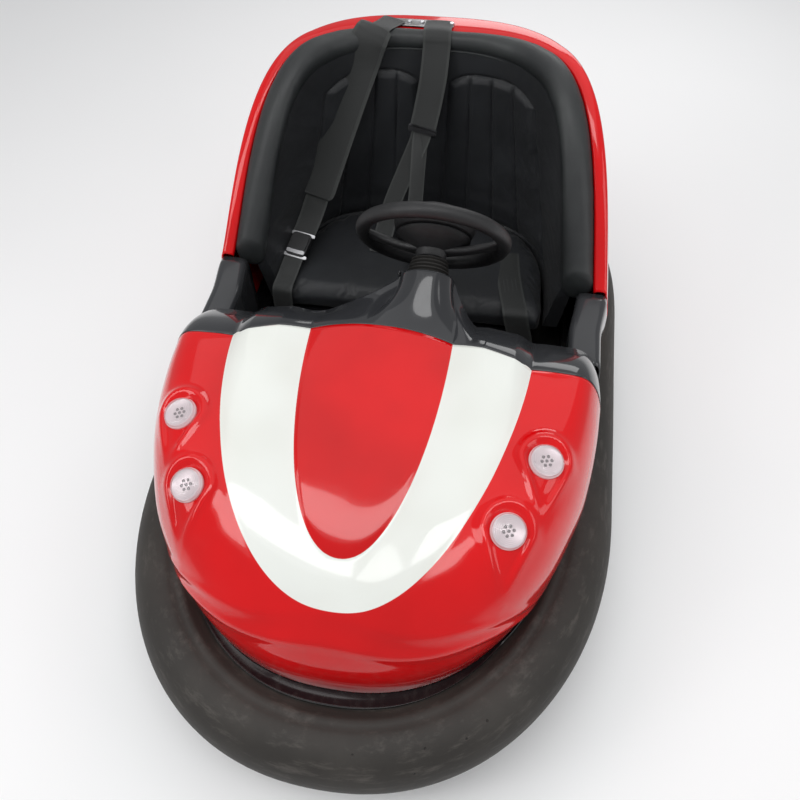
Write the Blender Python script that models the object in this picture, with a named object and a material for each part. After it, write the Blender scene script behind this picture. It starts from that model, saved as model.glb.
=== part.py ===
"""Two-seat fairground bumper car, battery driven, with one steered drive wheel in front.

Metres, +Z up. The origin is the centre of the footprint on the floor. The front faces -Y,
so the driver's left hand is towards +X. Every body panel is a thin fibreglass shell, and the
frame, floor pan and bumper rail are steel.
"""

import math

import bmesh
import bpy
import numpy as np

GAP = 0.0003  # what separates two pieces that rest on each other
WELD = 0.0001  # keeps the faces of two shapes that are joined from lying in one plane

# Overall sizes
LENGTH = 1.98
WIDTH = 1.15

# Rubber bumper
TUBE_R = 0.085
TUBE_Z = 0.218
TUBE_FLAT = 0.060  # from the tube's centre line to its flat back
TUBE_NOSE = 0.697  # length of the rounded front, outside
TUBE_TAIL = 0.640
TUBE_NOSE_POWER = 2.18
TUBE_TAIL_POWER = 2.6

# Body outline at the lower edge of the shells
BODY_INSET = 0.105  # from the bumper's outside to the body's side
BODY_FRONT_SETBACK = 0.175
BODY_REAR_SETBACK = 0.190
BODY_NOSE = 0.665
BODY_TAIL = 0.560
BODY_NOSE_POWER = 2.3
BODY_TAIL_POWER = 2.7
LIP_PLAY = 0.0011  # between the rubber and the ledge over it

# Panels
SHELL = 0.005
PANEL_GAP = 0.0038  # between two shells that are bolted edge to edge
SIDE_FLARE = 0.034  # how far the sides bulge past the lower edge
SWELL_HEIGHT = 0.42
HOOD_REAR_Y = -0.190
HOOD_CROWN_Y = -0.150
HOOD_TOP_Z = 0.655
HOOD_SHOULDER_Z = 0.632
HOOD_SHOULDER_X = 0.320
NOSE_DROP = 0.42
COWL_REAR_Y = -0.060
COWL_FALL = 0.060  # how far the cowl drops towards the sills
SILL_REAR_Y = 0.170
SILL_TOP_Z = 0.515
SILL_WIDTH = 0.080
REAR_TOP_Z = 0.905
RIM_LIFT = 0.006
REAR_LEAN = 0.075  # how far the rear shell leans forward at its top
REAR_RIM = 0.034  # rim turned inwards at the sides of the rear shell
REAR_SHELF = 0.072  # the same behind the seat
ROLL_PLAY = 0.004  # between the padded roll and the backrest under it
ROLL_DROP = 0.010  # from the rim down to the middle of the padded roll
TAIL_TUMBLE = 0.085  # how far the rear shell's sides draw in at the top

# Frame
FRAME_TUBE = 0.040
FRAME_X = 0.215
FLOOR_Z = 0.166  # underside of the floor pan
FLOOR_T = 0.004
RAIL_T = 0.006
RAIL_H = 0.114
RAIL_FLANGE = 0.045
CROSS_Y = (-0.660, -0.190, 0.180, 0.490, 0.722)
MAT_T = 0.005
LEDGE_T = 0.004

# Steered drive unit
DRIVE_Y = -0.450
DRIVE_WHEEL_R = 0.110
DRIVE_WHEEL_W = 0.060
DRIVE_RIM_R = 0.070
DRIVE_HOLE_R = 0.190
RING_R = 0.215
FORK_X = 0.046
FORK_T = 0.008
FORK_W = 0.080
FORK_TOP_Z = 0.330
KINGPIN_R = 0.016
BRIDGE_X = 0.205
BRIDGE_Z = 0.352
BRIDGE_T = 0.008
BRIDGE_W = 0.070
MOTOR_R = 0.060
MOTOR_L = 0.096
MOTOR_Z = 0.250
AXLE_R = 0.012
PIN_CLEARANCE = 0.0005

# Rear wheels
REAR_Y = 0.620
REAR_X = 0.300
REAR_WHEEL_R = 0.075
REAR_WHEEL_W = 0.048
REAR_RIM_R = 0.050
HANGER_T = 0.008

# Cockpit
SEAT_FRONT_Y = 0.176
SEAT_REAR_Y = 0.560
SEAT_HALF = 0.335
SEAT_BASE_Z = 0.345
CUSHION_T = 0.085
BATTERY = (0.340, 0.240, 0.150)
CUSHION_PLAY = 0.003
BACK_T = 0.045
BACK_HALF = 0.360
BACK_FRONT_Y = 0.190
BACK_DEPTH = 0.350
BACK_POWER = 3.2
COAMING_R = 0.026

PEDAL_PLACE = (-0.060, -0.150)

# Steering
COLUMN_X = 0.078
WHEEL_Y = 0.085
WHEEL_Z = 0.722
COLUMN_TILT = math.radians(61.0)
RIM_R = 0.162
RIM_TUBE_R = 0.0172
HUB_R = 0.034
DISH = 0.050
SHAFT_R = 0.011
BOOT_R = 0.046
BOOT_L = 0.044
COLLAR_R = 0.062
PAD_R = 0.075
PAD_H = 0.045

# Belts
BELT_W = 0.046
BELT_T = 0.003
BELT_PAD_W = 0.066
BELT_PAD_T = 0.008
ANCHOR_T = 0.004
BELT_PLAY = 0.0040

# Lamps
LAMP_R = 0.032
LAMP_PLACES = ((0.377, -0.411), (0.319, -0.558))

MATERIALS = {
    "red_gelcoat": ((0.62, 0.012, 0.014), 0.22, 0.0),
    "grey_gelcoat": ((0.075, 0.075, 0.08), 0.25, 0.0),
    "black_gelcoat": ((0.012, 0.012, 0.013), 0.3, 0.0),
    "bumper_rubber": ((0.045, 0.042, 0.04), 0.7, 0.0),
    "black_vinyl": ((0.018, 0.02, 0.022), 0.5, 0.0),
    "webbing": ((0.02, 0.02, 0.022), 0.75, 0.0),
    "frame_paint": ((0.03, 0.03, 0.032), 0.5, 0.6),
    "steel": ((0.5, 0.5, 0.52), 0.35, 1.0),
    "chrome": ((0.75, 0.75, 0.77), 0.12, 1.0),
    "tyre_rubber": ((0.025, 0.025, 0.026), 0.8, 0.0),
    "mat_rubber": ((0.03, 0.03, 0.031), 0.8, 0.0),
    "wheel_plastic": ((0.015, 0.015, 0.016), 0.45, 0.0),
    "lamp_lens": ((0.85, 0.78, 0.78), 0.12, 0.0),
    "battery_case": ((0.05, 0.05, 0.055), 0.55, 0.0),
}

HALF_W = WIDTH / 2
FRONT_Y = -LENGTH / 2
REAR_END_Y = LENGTH / 2
BODY_HALF = HALF_W - BODY_INSET
RAIL_TOP = FLOOR_Z - RAIL_T + RAIL_H
BODY_FRONT_Y = FRONT_Y + BODY_FRONT_SETBACK
BODY_REAR_Y = REAR_END_Y - BODY_REAR_SETBACK
PAN_TOP = FLOOR_Z + GAP + FLOOR_T
BACK_LOW_Z = SEAT_BASE_Z + GAP
COLUMN_AXIS = np.array([0.0, math.sin(COLUMN_TILT), math.cos(COLUMN_TILT)])
WHEEL_CENTRE = np.array([COLUMN_X, WHEEL_Y, WHEEL_Z])
ARC_POINTS = 18


# ---------------------------------------------------------------- helpers


def clear_scene():
    for obj in list(bpy.data.objects):
        bpy.data.objects.remove(obj, do_unlink=True)


def material(slot):
    found = bpy.data.materials.get(slot)
    if found:
        return found
    colour, rough, metal = MATERIALS[slot]
    made = bpy.data.materials.new(slot)
    made.use_nodes = True
    shader = made.node_tree.nodes["Principled BSDF"]
    shader.inputs["Base Color"].default_value = (*colour, 1.0)
    shader.inputs["Roughness"].default_value = rough
    shader.inputs["Metallic"].default_value = metal
    return made


def empty_at(name, place):
    found = bpy.data.objects.new(name, None)
    found.location = place
    bpy.context.collection.objects.link(found)
    return found


def hang(obj, parent):
    """Parent without moving: the mesh is already in world places."""
    if parent is not None:
        obj.parent = parent
        obj.matrix_parent_inverse = parent.matrix_basis.inverted()


def add_object(name, mesh, slot, parent=None):
    obj = bpy.data.objects.new(name, mesh)
    bpy.context.collection.objects.link(obj)
    mesh.materials.append(material(slot))
    hang(obj, parent)
    return obj


def mesh_from(name, points, faces):
    mesh = bpy.data.meshes.new(name)
    mesh.from_pydata([tuple(map(float, p)) for p in points], [], faces)
    mesh.validate()
    work = bmesh.new()
    work.from_mesh(mesh)
    bmesh.ops.remove_doubles(work, verts=work.verts, dist=1e-6)
    bmesh.ops.recalc_face_normals(work, faces=work.faces)
    work.to_mesh(mesh)
    work.free()
    mesh.shade_smooth()
    mesh.set_sharp_from_angle(angle=math.radians(35))
    return mesh


def grid_faces(rows, columns, close_rows=False, close_columns=False):
    """Quads of a grid of rows x columns points, optionally closed in either direction."""
    faces = []
    for i in range(rows if close_rows else rows - 1):
        for j in range(columns if close_columns else columns - 1):
            a = i * columns + j
            b = i * columns + (j + 1) % columns
            c = ((i + 1) % rows) * columns + (j + 1) % columns
            d = ((i + 1) % rows) * columns + j
            faces.append((a, b, c, d))
    return faces


def loft_open(name, sections, slot, parent=None):
    """A solid through closed sections (each m x 3), with a flat cap at both ends."""
    rows = len(sections)
    columns = len(sections[0])
    faces = grid_faces(rows, columns, close_columns=True)
    faces.append(tuple(range(columns)))
    faces.append(tuple(range((rows - 1) * columns, rows * columns)))
    return add_object(name, mesh_from(name, np.concatenate(sections), faces), slot, parent)


def loft_ring(name, sections, slot, parent=None):
    """A solid ring through closed sections, the last one joined to the first."""
    rows = len(sections)
    columns = len(sections[0])
    faces = grid_faces(rows, columns, close_rows=True, close_columns=True)
    return add_object(name, mesh_from(name, np.concatenate(sections), faces), slot, parent)


def box_points(low, high):
    (x0, y0, z0), (x1, y1, z1) = low, high
    return [
        (x0, y0, z0), (x1, y0, z0), (x1, y1, z0), (x0, y1, z0),
        (x0, y0, z1), (x1, y0, z1), (x1, y1, z1), (x0, y1, z1),
    ]


BOX_FACES = [(0, 3, 2, 1), (4, 5, 6, 7), (0, 1, 5, 4), (1, 2, 6, 5), (2, 3, 7, 6), (3, 0, 4, 7)]


def box(name, low, high, slot, parent=None):
    return add_object(name, mesh_from(name, box_points(low, high), BOX_FACES), slot, parent)


def helper(obj):
    """A cutter or an added shape, which isn't a part of its own."""
    obj.hide_render = True
    obj.display_type = "WIRE"
    return obj


def combine(obj, other, operation):
    change = obj.modifiers.new(operation.lower(), "BOOLEAN")
    change.operation = operation
    change.solver = "EXACT"
    change.object = helper(other)
    return obj


def frame_of(axis):
    """Two unit vectors square to the axis."""
    axis = np.asarray(axis, float)
    axis = axis / np.linalg.norm(axis)
    side = np.array([1.0, 0.0, 0.0]) if abs(axis[0]) < 0.9 else np.array([0.0, 1.0, 0.0])
    first = side - axis * side.dot(axis)
    first = first / np.linalg.norm(first)
    return axis, first, np.cross(axis, first)


def circle(centre, axis, radius, count):
    _, first, second = frame_of(axis)
    turn = np.linspace(0, 2 * math.pi, count, endpoint=False)[:, None]
    return np.asarray(centre) + radius * (np.cos(turn) * first + np.sin(turn) * second)


def turned(name, centre, axis, profile, slot, parent=None, count=40):
    """A turned solid. The profile is a list of (distance along the axis, radius)."""
    axis = frame_of(axis)[0]
    sections = [circle(np.asarray(centre) + along * axis, axis, r, count) for along, r in profile]
    return loft_open(name, sections, slot, parent)


def turned_ring(name, centre, axis, profile, slot, parent=None, count=40):
    """A turned ring: its closed profile, of (along, radius), doesn't reach the axis."""
    axis, first, second = frame_of(axis)
    turn = np.linspace(0, 2 * math.pi, count, endpoint=False)
    sections = []
    for angle in turn:
        out = math.cos(angle) * first + math.sin(angle) * second
        sections.append(np.array([np.asarray(centre) + a * axis + r * out for a, r in profile]))
    return loft_ring(name, sections, slot, parent)


def shell_from_grid(name, points, slot, outward, thickness=SHELL):
    """A wall of even thickness behind a grid of points, whose faces look along outward."""
    rows, columns = points.shape[:2]
    mesh = bpy.data.meshes.new(name)
    mesh.from_pydata([tuple(map(float, p)) for p in points.reshape(-1, 3)], [], grid_faces(rows, columns))
    work = bmesh.new()
    work.from_mesh(mesh)
    bmesh.ops.remove_doubles(work, verts=work.verts, dist=1e-5)
    bmesh.ops.recalc_face_normals(work, faces=work.faces)
    if sum((face.normal.dot(outward(face.calc_center_median())) for face in work.faces)) < 0:
        bmesh.ops.reverse_faces(work, faces=work.faces)
    work.to_mesh(mesh)
    work.free()
    mesh.shade_smooth()
    mesh.set_sharp_from_angle(angle=math.radians(35))
    obj = add_object(name, mesh, slot)
    wall = obj.modifiers.new("wall", "SOLIDIFY")
    wall.thickness = thickness
    wall.offset = -1.0
    wall.use_even_offset = True
    return obj


# ---------------------------------------------------------------- outlines in plan


def rounded_end(half, length, power, count):
    """From (half, 0) round to (0, length), as a superellipse quarter of count points."""
    turn = np.linspace(0, math.pi / 2, count)
    across = half * np.cos(turn) ** (2 / power)
    along = length * np.sin(turn) ** (2 / power)
    return np.stack([across, along], axis=1)


def outline(half, front_y, nose, nose_power, rear_y, tail, tail_power, inset=0.0, count=ARC_POINTS):
    """A closed outline in plan, anticlockwise from the right side's front, moved in by inset."""
    front = rounded_end(half - inset, nose - inset, nose_power, count)
    back = rounded_end(half - inset, tail - inset, tail_power, count)
    start = front_y + nose
    end = rear_y - tail
    quarter_rear = np.stack([back[:, 0], end + back[:, 1]], axis=1)
    quarter_front = np.stack([front[:, 0], start - front[:, 1]], axis=1)
    side = np.linspace(start, end, 5)[1:-1]
    right_side = np.stack([np.full(len(side), half - inset), side], axis=1)
    right = np.concatenate([quarter_front[::-1], right_side, quarter_rear])
    left = right[::-1][1:-1] * [-1, 1]
    return np.concatenate([right, left])


def tube_outline(inset):
    return outline(HALF_W, FRONT_Y, TUBE_NOSE, TUBE_NOSE_POWER,
                   REAR_END_Y, TUBE_TAIL, TUBE_TAIL_POWER, inset)


def body_outline(inset=0.0):
    return outline(BODY_HALF, BODY_FRONT_Y, BODY_NOSE, BODY_NOSE_POWER,
                   BODY_REAR_Y, BODY_TAIL, BODY_TAIL_POWER, inset)


def at_height(points, z):
    return np.concatenate([points, np.full((len(points), 1), z)], axis=1)


def outline_normals(points):
    """Unit vectors out of a closed anticlockwise outline."""
    along = np.roll(points, -1, axis=0) - np.roll(points, 1, axis=0)
    out = np.stack([along[:, 1], -along[:, 0]], axis=1)
    return out / np.linalg.norm(out, axis=1, keepdims=True)


def ring_along(name, path, profile, slot):
    """A ring whose closed profile, of (outward, z), is carried along a closed outline."""
    normals = outline_normals(path)
    sections = []
    for place, out in zip(path, normals):
        sections.append(np.array([(*(place + out * o), z) for o, z in profile]))
    return loft_ring(name, sections, slot)


# ---------------------------------------------------------------- bumper, frame and floor


def bumper():
    """A rubber ring, round outside and flat where it seats on the rail."""
    half_flat = math.acos(-TUBE_FLAT / TUBE_R)
    turn = np.linspace(-half_flat, half_flat, 15)
    profile = [(TUBE_R * math.cos(t), TUBE_Z + TUBE_R * math.sin(t)) for t in turn]
    ring_along("bumper_tube", tube_outline(TUBE_R), profile, "bumper_rubber")


def bumper_rail():
    """A steel channel behind the rubber, with its lower flange turned in under the floor pan."""
    face = -TUBE_FLAT - GAP
    low = FLOOR_Z - RAIL_T
    high = low + RAIL_H
    inner = face - RAIL_FLANGE
    profile = [
        (face, low), (face, high), (face - RAIL_T, high),
        (face - RAIL_T, low + RAIL_T), (inner, low + RAIL_T), (inner, low),
    ]
    ring_along("bumper_rail", tube_outline(TUBE_R), profile, "frame_paint")


def tube_top(inward):
    """Height of the rubber's top at a distance inside the tube's centre line."""
    reach = np.minimum(np.abs(inward), TUBE_FLAT)
    return TUBE_Z + np.sqrt(TUBE_R**2 - reach**2)


def inside_tube_line(place):
    """How far a place in plan lies from the tube's centre line."""
    path = tube_outline(TUBE_R)
    ahead = np.roll(path, -1, axis=0) - path
    along = ((place - path) * ahead).sum(axis=1) / (ahead**2).sum(axis=1)
    foot = path + ahead * np.clip(along, 0, 1)[:, None]
    return float(np.linalg.norm(place - foot, axis=1).min())


def lip_height(place):
    """Height of the body's lower edge at a place in plan: it rests on the ledge all round."""
    return float(tube_top(inside_tube_line(np.asarray(place[:2])))) + LIP_PLAY + LEDGE_T + GAP


def body_inset_along(path, normals):
    """Distance from each point of the tube's centre line inwards to the body's outline."""
    body = body_outline()
    after = np.roll(body, -1, axis=0)
    found = []
    for place, out in zip(path, normals):
        edge = after - body
        across = out[0] * edge[:, 1] - out[1] * edge[:, 0]
        gap = body - place
        share = (gap[:, 0] * out[1] - gap[:, 1] * out[0]) / np.where(abs(across) < 1e-12, 1e-12, across)
        reach = (gap[:, 0] * edge[:, 1] - gap[:, 1] * edge[:, 0]) / np.where(abs(across) < 1e-12, 1e-12, across)
        hit = (share >= -1e-6) & (share <= 1 + 1e-6) & (np.abs(reach) < 0.3)
        found.append(float(-reach[hit][np.argmin(np.abs(reach[hit]))]))
    return np.array(found)


def deck_ledge():
    """The black ledge between bumper and body: a foot on the rail, and a flange under the shells."""
    path = tube_outline(TUBE_R)
    normals = outline_normals(path)
    riser_out = TUBE_FLAT + GAP
    riser_in = riser_out + RAIL_T
    sections = []
    for place, out, body in zip(path, normals, body_inset_along(path, normals)):
        edge_out = min(riser_out - 0.002, body - 0.0015)
        edge_in = max(riser_in + 0.0008, body + 0.028)
        rising = [edge_out + (riser_out - edge_out) * t for t in (0, 0.34, 0.67, 1)]
        profile = [(r, tube_top(r) + LIP_PLAY) for r in rising]
        profile += [(riser_out, RAIL_TOP + GAP), (riser_in, RAIL_TOP + GAP)]
        low = tube_top(riser_in) + LIP_PLAY
        profile += [(riser_in, low), (edge_in, low), (edge_in, low + LEDGE_T)]
        profile += [(r, tube_top(r) + LIP_PLAY + LEDGE_T) for r in rising[::-1]]
        sections.append(np.array([(*(place - out * r), z) for r, z in profile]))
    loft_ring("deck_ledge", sections, "black_gelcoat")


def chassis_frame():
    """Two long tubes and five cross tubes, welded into one frame."""
    half = FRAME_TUBE / 2
    low = FLOOR_Z - FRAME_TUBE
    front = CROSS_Y[0] - half
    back = CROSS_Y[-1] + half
    frame = box("chassis_frame", (FRAME_X - half, front, low), (FRAME_X + half, back, FLOOR_Z),
                "frame_paint")
    combine(frame, box("frame_long_left", (-FRAME_X - half, front, low),
                       (-FRAME_X + half, back, FLOOR_Z), "frame_paint"), "UNION")
    for number, y in enumerate(CROSS_Y):
        reach = rail_reach(y)
        cross = box(f"frame_cross_{number}", (-reach, y - half + WELD, low + WELD),
                    (reach, y + half - WELD, FLOOR_Z - WELD), "frame_paint")
        combine(frame, cross, "UNION")


def rail_reach(y):
    """How far from the middle a cross tube at y can go before it meets the rail's flange."""
    half = FRAME_TUBE / 2
    path = tube_outline(TUBE_R)
    inner = path + outline_normals(path) * (-TUBE_FLAT - GAP - RAIL_FLANGE)
    right = inner[inner[:, 0] > 0.02]
    order = np.argsort(right[:, 1])
    ends = np.interp([y - half, y + half], right[order, 1], right[order, 0])
    return float(min(ends)) - GAP


def floor_pan():
    """A steel plate on the frame and the rail's flange, with a round opening for the drive unit."""
    path = tube_outline(TUBE_R)
    edge = path + outline_normals(path) * (-TUBE_FLAT - 2 * GAP - RAIL_T)
    low = FLOOR_Z + GAP
    pan = loft_open("floor_pan", [at_height(edge, low), at_height(edge, low + FLOOR_T)], "frame_paint")
    hole = turned("floor_hole", (0, DRIVE_Y, low - 0.02), (0, 0, 1),
                  [(0, DRIVE_HOLE_R), (0.05, DRIVE_HOLE_R)], "frame_paint")
    combine(pan, hole, "DIFFERENCE")


def floor_mat():
    """A rubber mat in the footwell, from the drive unit's ring to the seat base."""
    half = SEAT_HALF
    front = DRIVE_Y + RING_R + 0.010
    box("floor_mat", (-half, front, PAN_TOP + GAP), (half, SEAT_FRONT_Y - 0.004, PAN_TOP + GAP + MAT_T),
        "mat_rubber")


# ---------------------------------------------------------------- body shells


def hood_spine(x):
    """The hood's rear edge: y and z above a place x across."""
    part = np.abs(x) / HOOD_SHOULDER_X
    y = HOOD_CROWN_Y + (HOOD_REAR_Y - HOOD_CROWN_Y) * part**2
    z = HOOD_TOP_Z + (HOOD_SHOULDER_Z - HOOD_TOP_Z) * part**2.2
    return y, z


def side_steps(steps):
    """Shares along a line from the hood's top (0) to its lower edge (1), closer towards the edge."""
    return np.concatenate([np.linspace(0, 0.66, 5)[:-1], 1 - 0.34 * np.linspace(1, 0, steps - 4) ** 1.9])


def hood_line(spine, foot, share, steps):
    """One line of the hood's surface, from a point of its rear edge to a point of its lower edge."""
    s = side_steps(steps)
    drop = NOSE_DROP * share**2 + 0.03
    square = 12 - 4 * share
    height = (1 - drop * s**0.9) * np.power(np.clip(1 - s**square, 0, 1), 0.36 + 0.06 * share)
    lip = lip_height(foot)
    z = lip + (spine[2] - lip) * height
    swell = SIDE_FLARE * (1 - 0.75 * share**2) * s**5 * np.sin(math.pi * np.clip((z - lip) / SWELL_HEIGHT, 0, 1))
    out = np.array([foot[0], (foot[1] - HOOD_REAR_Y) * 0.6])
    out = out / np.linalg.norm(out)
    x = spine[0] + (foot[0] - spine[0]) * s + out[0] * swell
    y = spine[1] + (foot[1] - spine[1]) * s + out[1] * swell
    return np.stack([x, y, z], axis=1)


def hood_feet(fans):
    """Points of the body's outline from the hood's rear end round to the nose."""
    nose = rounded_end(BODY_HALF, BODY_NOSE, BODY_NOSE_POWER, fans)
    start = BODY_FRONT_Y + BODY_NOSE
    lower = np.stack([nose[:, 0], start - nose[:, 1]], axis=1)
    rear = np.array([[float(np.interp(-HOOD_REAR_Y, -lower[:, 1], lower[:, 0])), HOOD_REAR_Y]])
    return np.concatenate([rear, lower[lower[:, 1] < HOOD_REAR_Y - 0.012]])


def hood_grid(fans=16, steps=14):
    """The hood's outer surface: lines that fan out from the rear edge to the lower edge."""
    feet = hood_feet(fans)
    lines = []
    for share, foot in zip(np.linspace(0, 1, len(feet)), feet):
        x = HOOD_SHOULDER_X * (1 - share)
        lines.append(hood_line((x, *hood_spine(x)), foot, share, steps))
    right = np.array(lines)
    left = right[:-1][::-1] * [-1, 1, 1]
    return np.concatenate([right, left])


def front_shell():
    """The red hood: one hollow shell, open below and behind, with a hole for each lamp."""
    shell = shell_from_grid("front_shell", hood_grid(), "red_gelcoat", hood_out)
    for number, (x, y) in enumerate(LAMP_PLACES):
        for side in (1, -1):
            seat, normal = hood_seat(side * x, y)
            hole = turned(f"lamp_hole_{number}_{side}", seat, normal,
                          [(-0.05, LAMP_R + GAP), (0.05, LAMP_R + GAP)], "steel", count=24)
            combine(shell, hole, "DIFFERENCE")


def hood_out(centre):
    return (centre.x, centre.y - HOOD_CROWN_Y, 0.3)


def hood_seat(x, y):
    """The point of the hood above a place in plan, and the surface's direction there."""
    points = hood_grid()
    near = np.hypot(points[..., 0] - x, points[..., 1] - y) + 10 * (points[..., 2] < 0.6 * HOOD_SHOULDER_Z)
    i, j = np.unravel_index(np.argmin(near), near.shape)
    i = min(max(i, 1), points.shape[0] - 2)
    j = min(max(j, 1), points.shape[1] - 2)
    normal = np.cross(points[i + 1, j] - points[i - 1, j], points[i, j + 1] - points[i, j - 1])
    normal = normal / np.linalg.norm(normal) * np.sign(normal[2])
    z = points[i, j, 2] - (normal[0] * (x - points[i, j, 0]) + normal[1] * (y - points[i, j, 1])) / normal[2]
    return np.array([x, y, z]), normal


def lamps():
    """Four round marker lamps, each a lens over a short housing through the hood."""
    profile = [(-0.030, LAMP_R - 0.006), (-0.004, LAMP_R), (0.004, LAMP_R),
               (0.011, LAMP_R - 0.006), (0.014, LAMP_R * 0.4)]
    for word, (x, y) in zip(("rear", "front"), LAMP_PLACES):
        for side, hand in ((1, "left"), (-1, "right")):
            seat, normal = hood_seat(side * x, y)
            turned(f"lamp_{hand}_{word}", seat, normal, profile, "lamp_lens", count=24)


def cowl():
    """The grey panel behind the hood, from one side's lower edge over to the other's."""
    across = np.linspace(-1, 1, 21)
    x = HOOD_SHOULDER_X * across
    rear_y, rear_z = hood_spine(x)
    front = np.stack([x, rear_y + PANEL_GAP, rear_z], axis=1)
    share = np.abs(across)
    back = np.stack([x, COWL_REAR_Y - 0.02 * (1 - share**2), rear_z - COWL_FALL * (0.5 + 0.5 * share**2)], axis=1)
    end = side_profile(HOOD_REAR_Y) + [0, PANEL_GAP, 0]
    end_back = side_profile(COWL_REAR_Y)
    end_back[:, 2] -= COWL_FALL * np.clip((end_back[:, 2] - end_back[-1, 2]) / 0.2, 0, 1)
    rows = [strip(f, b) * [-1, 1, 1] for f, b in zip(end[::-1], end_back[::-1])]
    rows += [strip(f, b) for f, b in zip(front, back)]
    rows += [strip(f, b) for f, b in zip(end, end_back)]
    return shell_from_grid("cowl", np.array(rows), "grey_gelcoat", lambda c: (c.x, 0, 0.3))


def strip(front_point, back_point):
    return np.array([front_point + (back_point - front_point) * t for t in (0, 0.25, 0.5, 0.75, 1)])


def side_profile(y):
    """The body's side at y, from the hood's shoulder down to the lower edge."""
    foot = np.array([BODY_HALF, y])
    line = hood_line((HOOD_SHOULDER_X, y, HOOD_SHOULDER_Z), foot, 0.0, 14)
    line[:, 1] = y
    return line[1:]


def sill(side, word):
    """The grey side between cowl and rear shell: outer wall, flat top and inner wall down to the pan."""
    front_y = COWL_REAR_Y + PANEL_GAP
    rows = []
    for y in np.linspace(front_y, SILL_REAR_Y, 5):
        outer = side_profile(y)
        outer = outer[outer[:, 2] < SILL_TOP_Z - 0.02]
        edge = float(outer[0, 0])
        inner = edge - SILL_WIDTH
        top = [(edge - 0.012, y, SILL_TOP_Z), (inner + 0.012, y, SILL_TOP_Z), (inner, y, SILL_TOP_Z - 0.012),
               (inner, y, PAN_TOP + GAP)]
        rows.append(np.concatenate([outer[::-1], top]) * [side, 1, 1])
    shell_from_grid(f"sill_{word}", np.array(rows), "grey_gelcoat", sill_out(side))


def sill_out(side):
    middle = BODY_HALF - SILL_WIDTH * 0.3
    return lambda c: (c.x - side * middle, 0, c.z - 0.4)


def rear_rim(turn):
    """The top edge of the rear shell. turn runs from 0 at the left side's front to pi at the right's."""
    front = SILL_REAR_Y + PANEL_GAP
    depth = BODY_REAR_Y - REAR_LEAN - front
    power = 2 / 2.9
    x = (BODY_HALF + SIDE_FLARE) * np.sign(np.cos(turn)) * np.abs(np.cos(turn)) ** power
    y = front + depth * np.sin(turn) ** power
    rise = np.clip((y - front) / (depth * 0.80), 0, 1)
    z = SILL_TOP_Z + (REAR_TOP_Z - SILL_TOP_Z) * np.sin(rise * math.pi / 2) ** 1.1
    x = x * (1 - TAIL_TUMBLE / BODY_HALF * rise)
    return np.stack([x, y, z], axis=-1)


def rim_width(turn):
    """Width of the rim turned in along the rear shell's top, widest behind the seat."""
    return REAR_RIM + (REAR_SHELF - REAR_RIM) * np.sin(turn) ** 4


def inward_of(points):
    """Unit vectors in plan from points of the tail towards the seat."""
    into = -(points[:, :2] - [0, 0.2])
    return into / np.linalg.norm(into, axis=1, keepdims=True)


def rear_foot(turn):
    front = SILL_REAR_Y + PANEL_GAP
    depth = BODY_REAR_Y - front
    power = 2 / 2.7
    x = BODY_HALF * np.sign(np.cos(turn)) * np.abs(np.cos(turn)) ** power
    y = front + depth * np.sin(turn) ** power
    z = np.array([lip_height(place) for place in np.stack([x, y], axis=-1)])
    return np.stack([x, y, z], axis=-1)


def rear_turns(count=41):
    return np.linspace(0, math.pi, count)


def rear_shell():
    """The red tail: one hollow shell from side to side behind the seat, with a rim turned in."""
    turn = rear_turns()
    foot, rim = rear_foot(turn), rear_rim(turn)
    rows = []
    for part in np.linspace(0, 1, 9):
        swell = SIDE_FLARE * 0.8 * math.sin(math.pi * part)
        row = foot + (rim - foot) * part
        out = row[:, :2] - [0, 0.2]
        out = out / np.linalg.norm(out, axis=1, keepdims=True)
        row[:, :2] += out * swell
        rows.append(row)
    for reach in (np.full(len(turn), 0.010), rim_width(turn)):
        row = rim.copy()
        row[:, :2] += inward_of(rim) * reach[:, None]
        row[:, 2] += RIM_LIFT
        rows.append(row)
    shell_from_grid("rear_shell", np.array(rows), "red_gelcoat", lambda c: (c.x, c.y - 0.2, 0.1))


# ---------------------------------------------------------------- cockpit


def seat_base():
    """A moulded box under the seat, open below, over the battery."""
    low, high = PAN_TOP + GAP, SEAT_BASE_Z
    wall = SHELL
    base = box("seat_base", (-SEAT_HALF, SEAT_FRONT_Y, low), (SEAT_HALF, SEAT_REAR_Y, high), "black_gelcoat")
    inside = box("seat_base_inside", (-SEAT_HALF + wall, SEAT_FRONT_Y + wall, low - 0.01),
                 (SEAT_HALF - wall, SEAT_REAR_Y - wall, high - wall), "black_gelcoat")
    combine(base, inside, "DIFFERENCE")


def battery():
    length, depth, height = BATTERY
    middle = (SEAT_FRONT_Y + SEAT_REAR_Y) / 2
    box("battery_block", (-length / 2, middle - depth / 2, PAN_TOP + GAP),
        (length / 2, middle + depth / 2, PAN_TOP + GAP + height), "battery_case")


def cushion_section(low_x, high_x, y, z_low, z_high, edge):
    """A rounded rectangle across the car."""
    corners = []
    for cx, cz, start in ((high_x - edge, z_low + edge, -90), (high_x - edge, z_high - edge, 0),
                          (low_x + edge, z_high - edge, 90), (low_x + edge, z_low + edge, 180)):
        for turn in np.radians(np.linspace(start, start + 90, 4)):
            corners.append((cx + edge * math.cos(turn), y, cz + edge * math.sin(turn)))
    return np.array(corners)


def back_foot(turn, outward=0.0):
    """The backrest's inner face at the height of the seat, in plan."""
    power = 2 / BACK_POWER
    x = (BACK_HALF + outward) * np.sign(np.cos(turn)) * np.abs(np.cos(turn)) ** power
    y = BACK_FRONT_Y + (BACK_DEPTH + outward) * np.sin(turn) ** power
    return np.stack([x, y], axis=-1)


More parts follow.
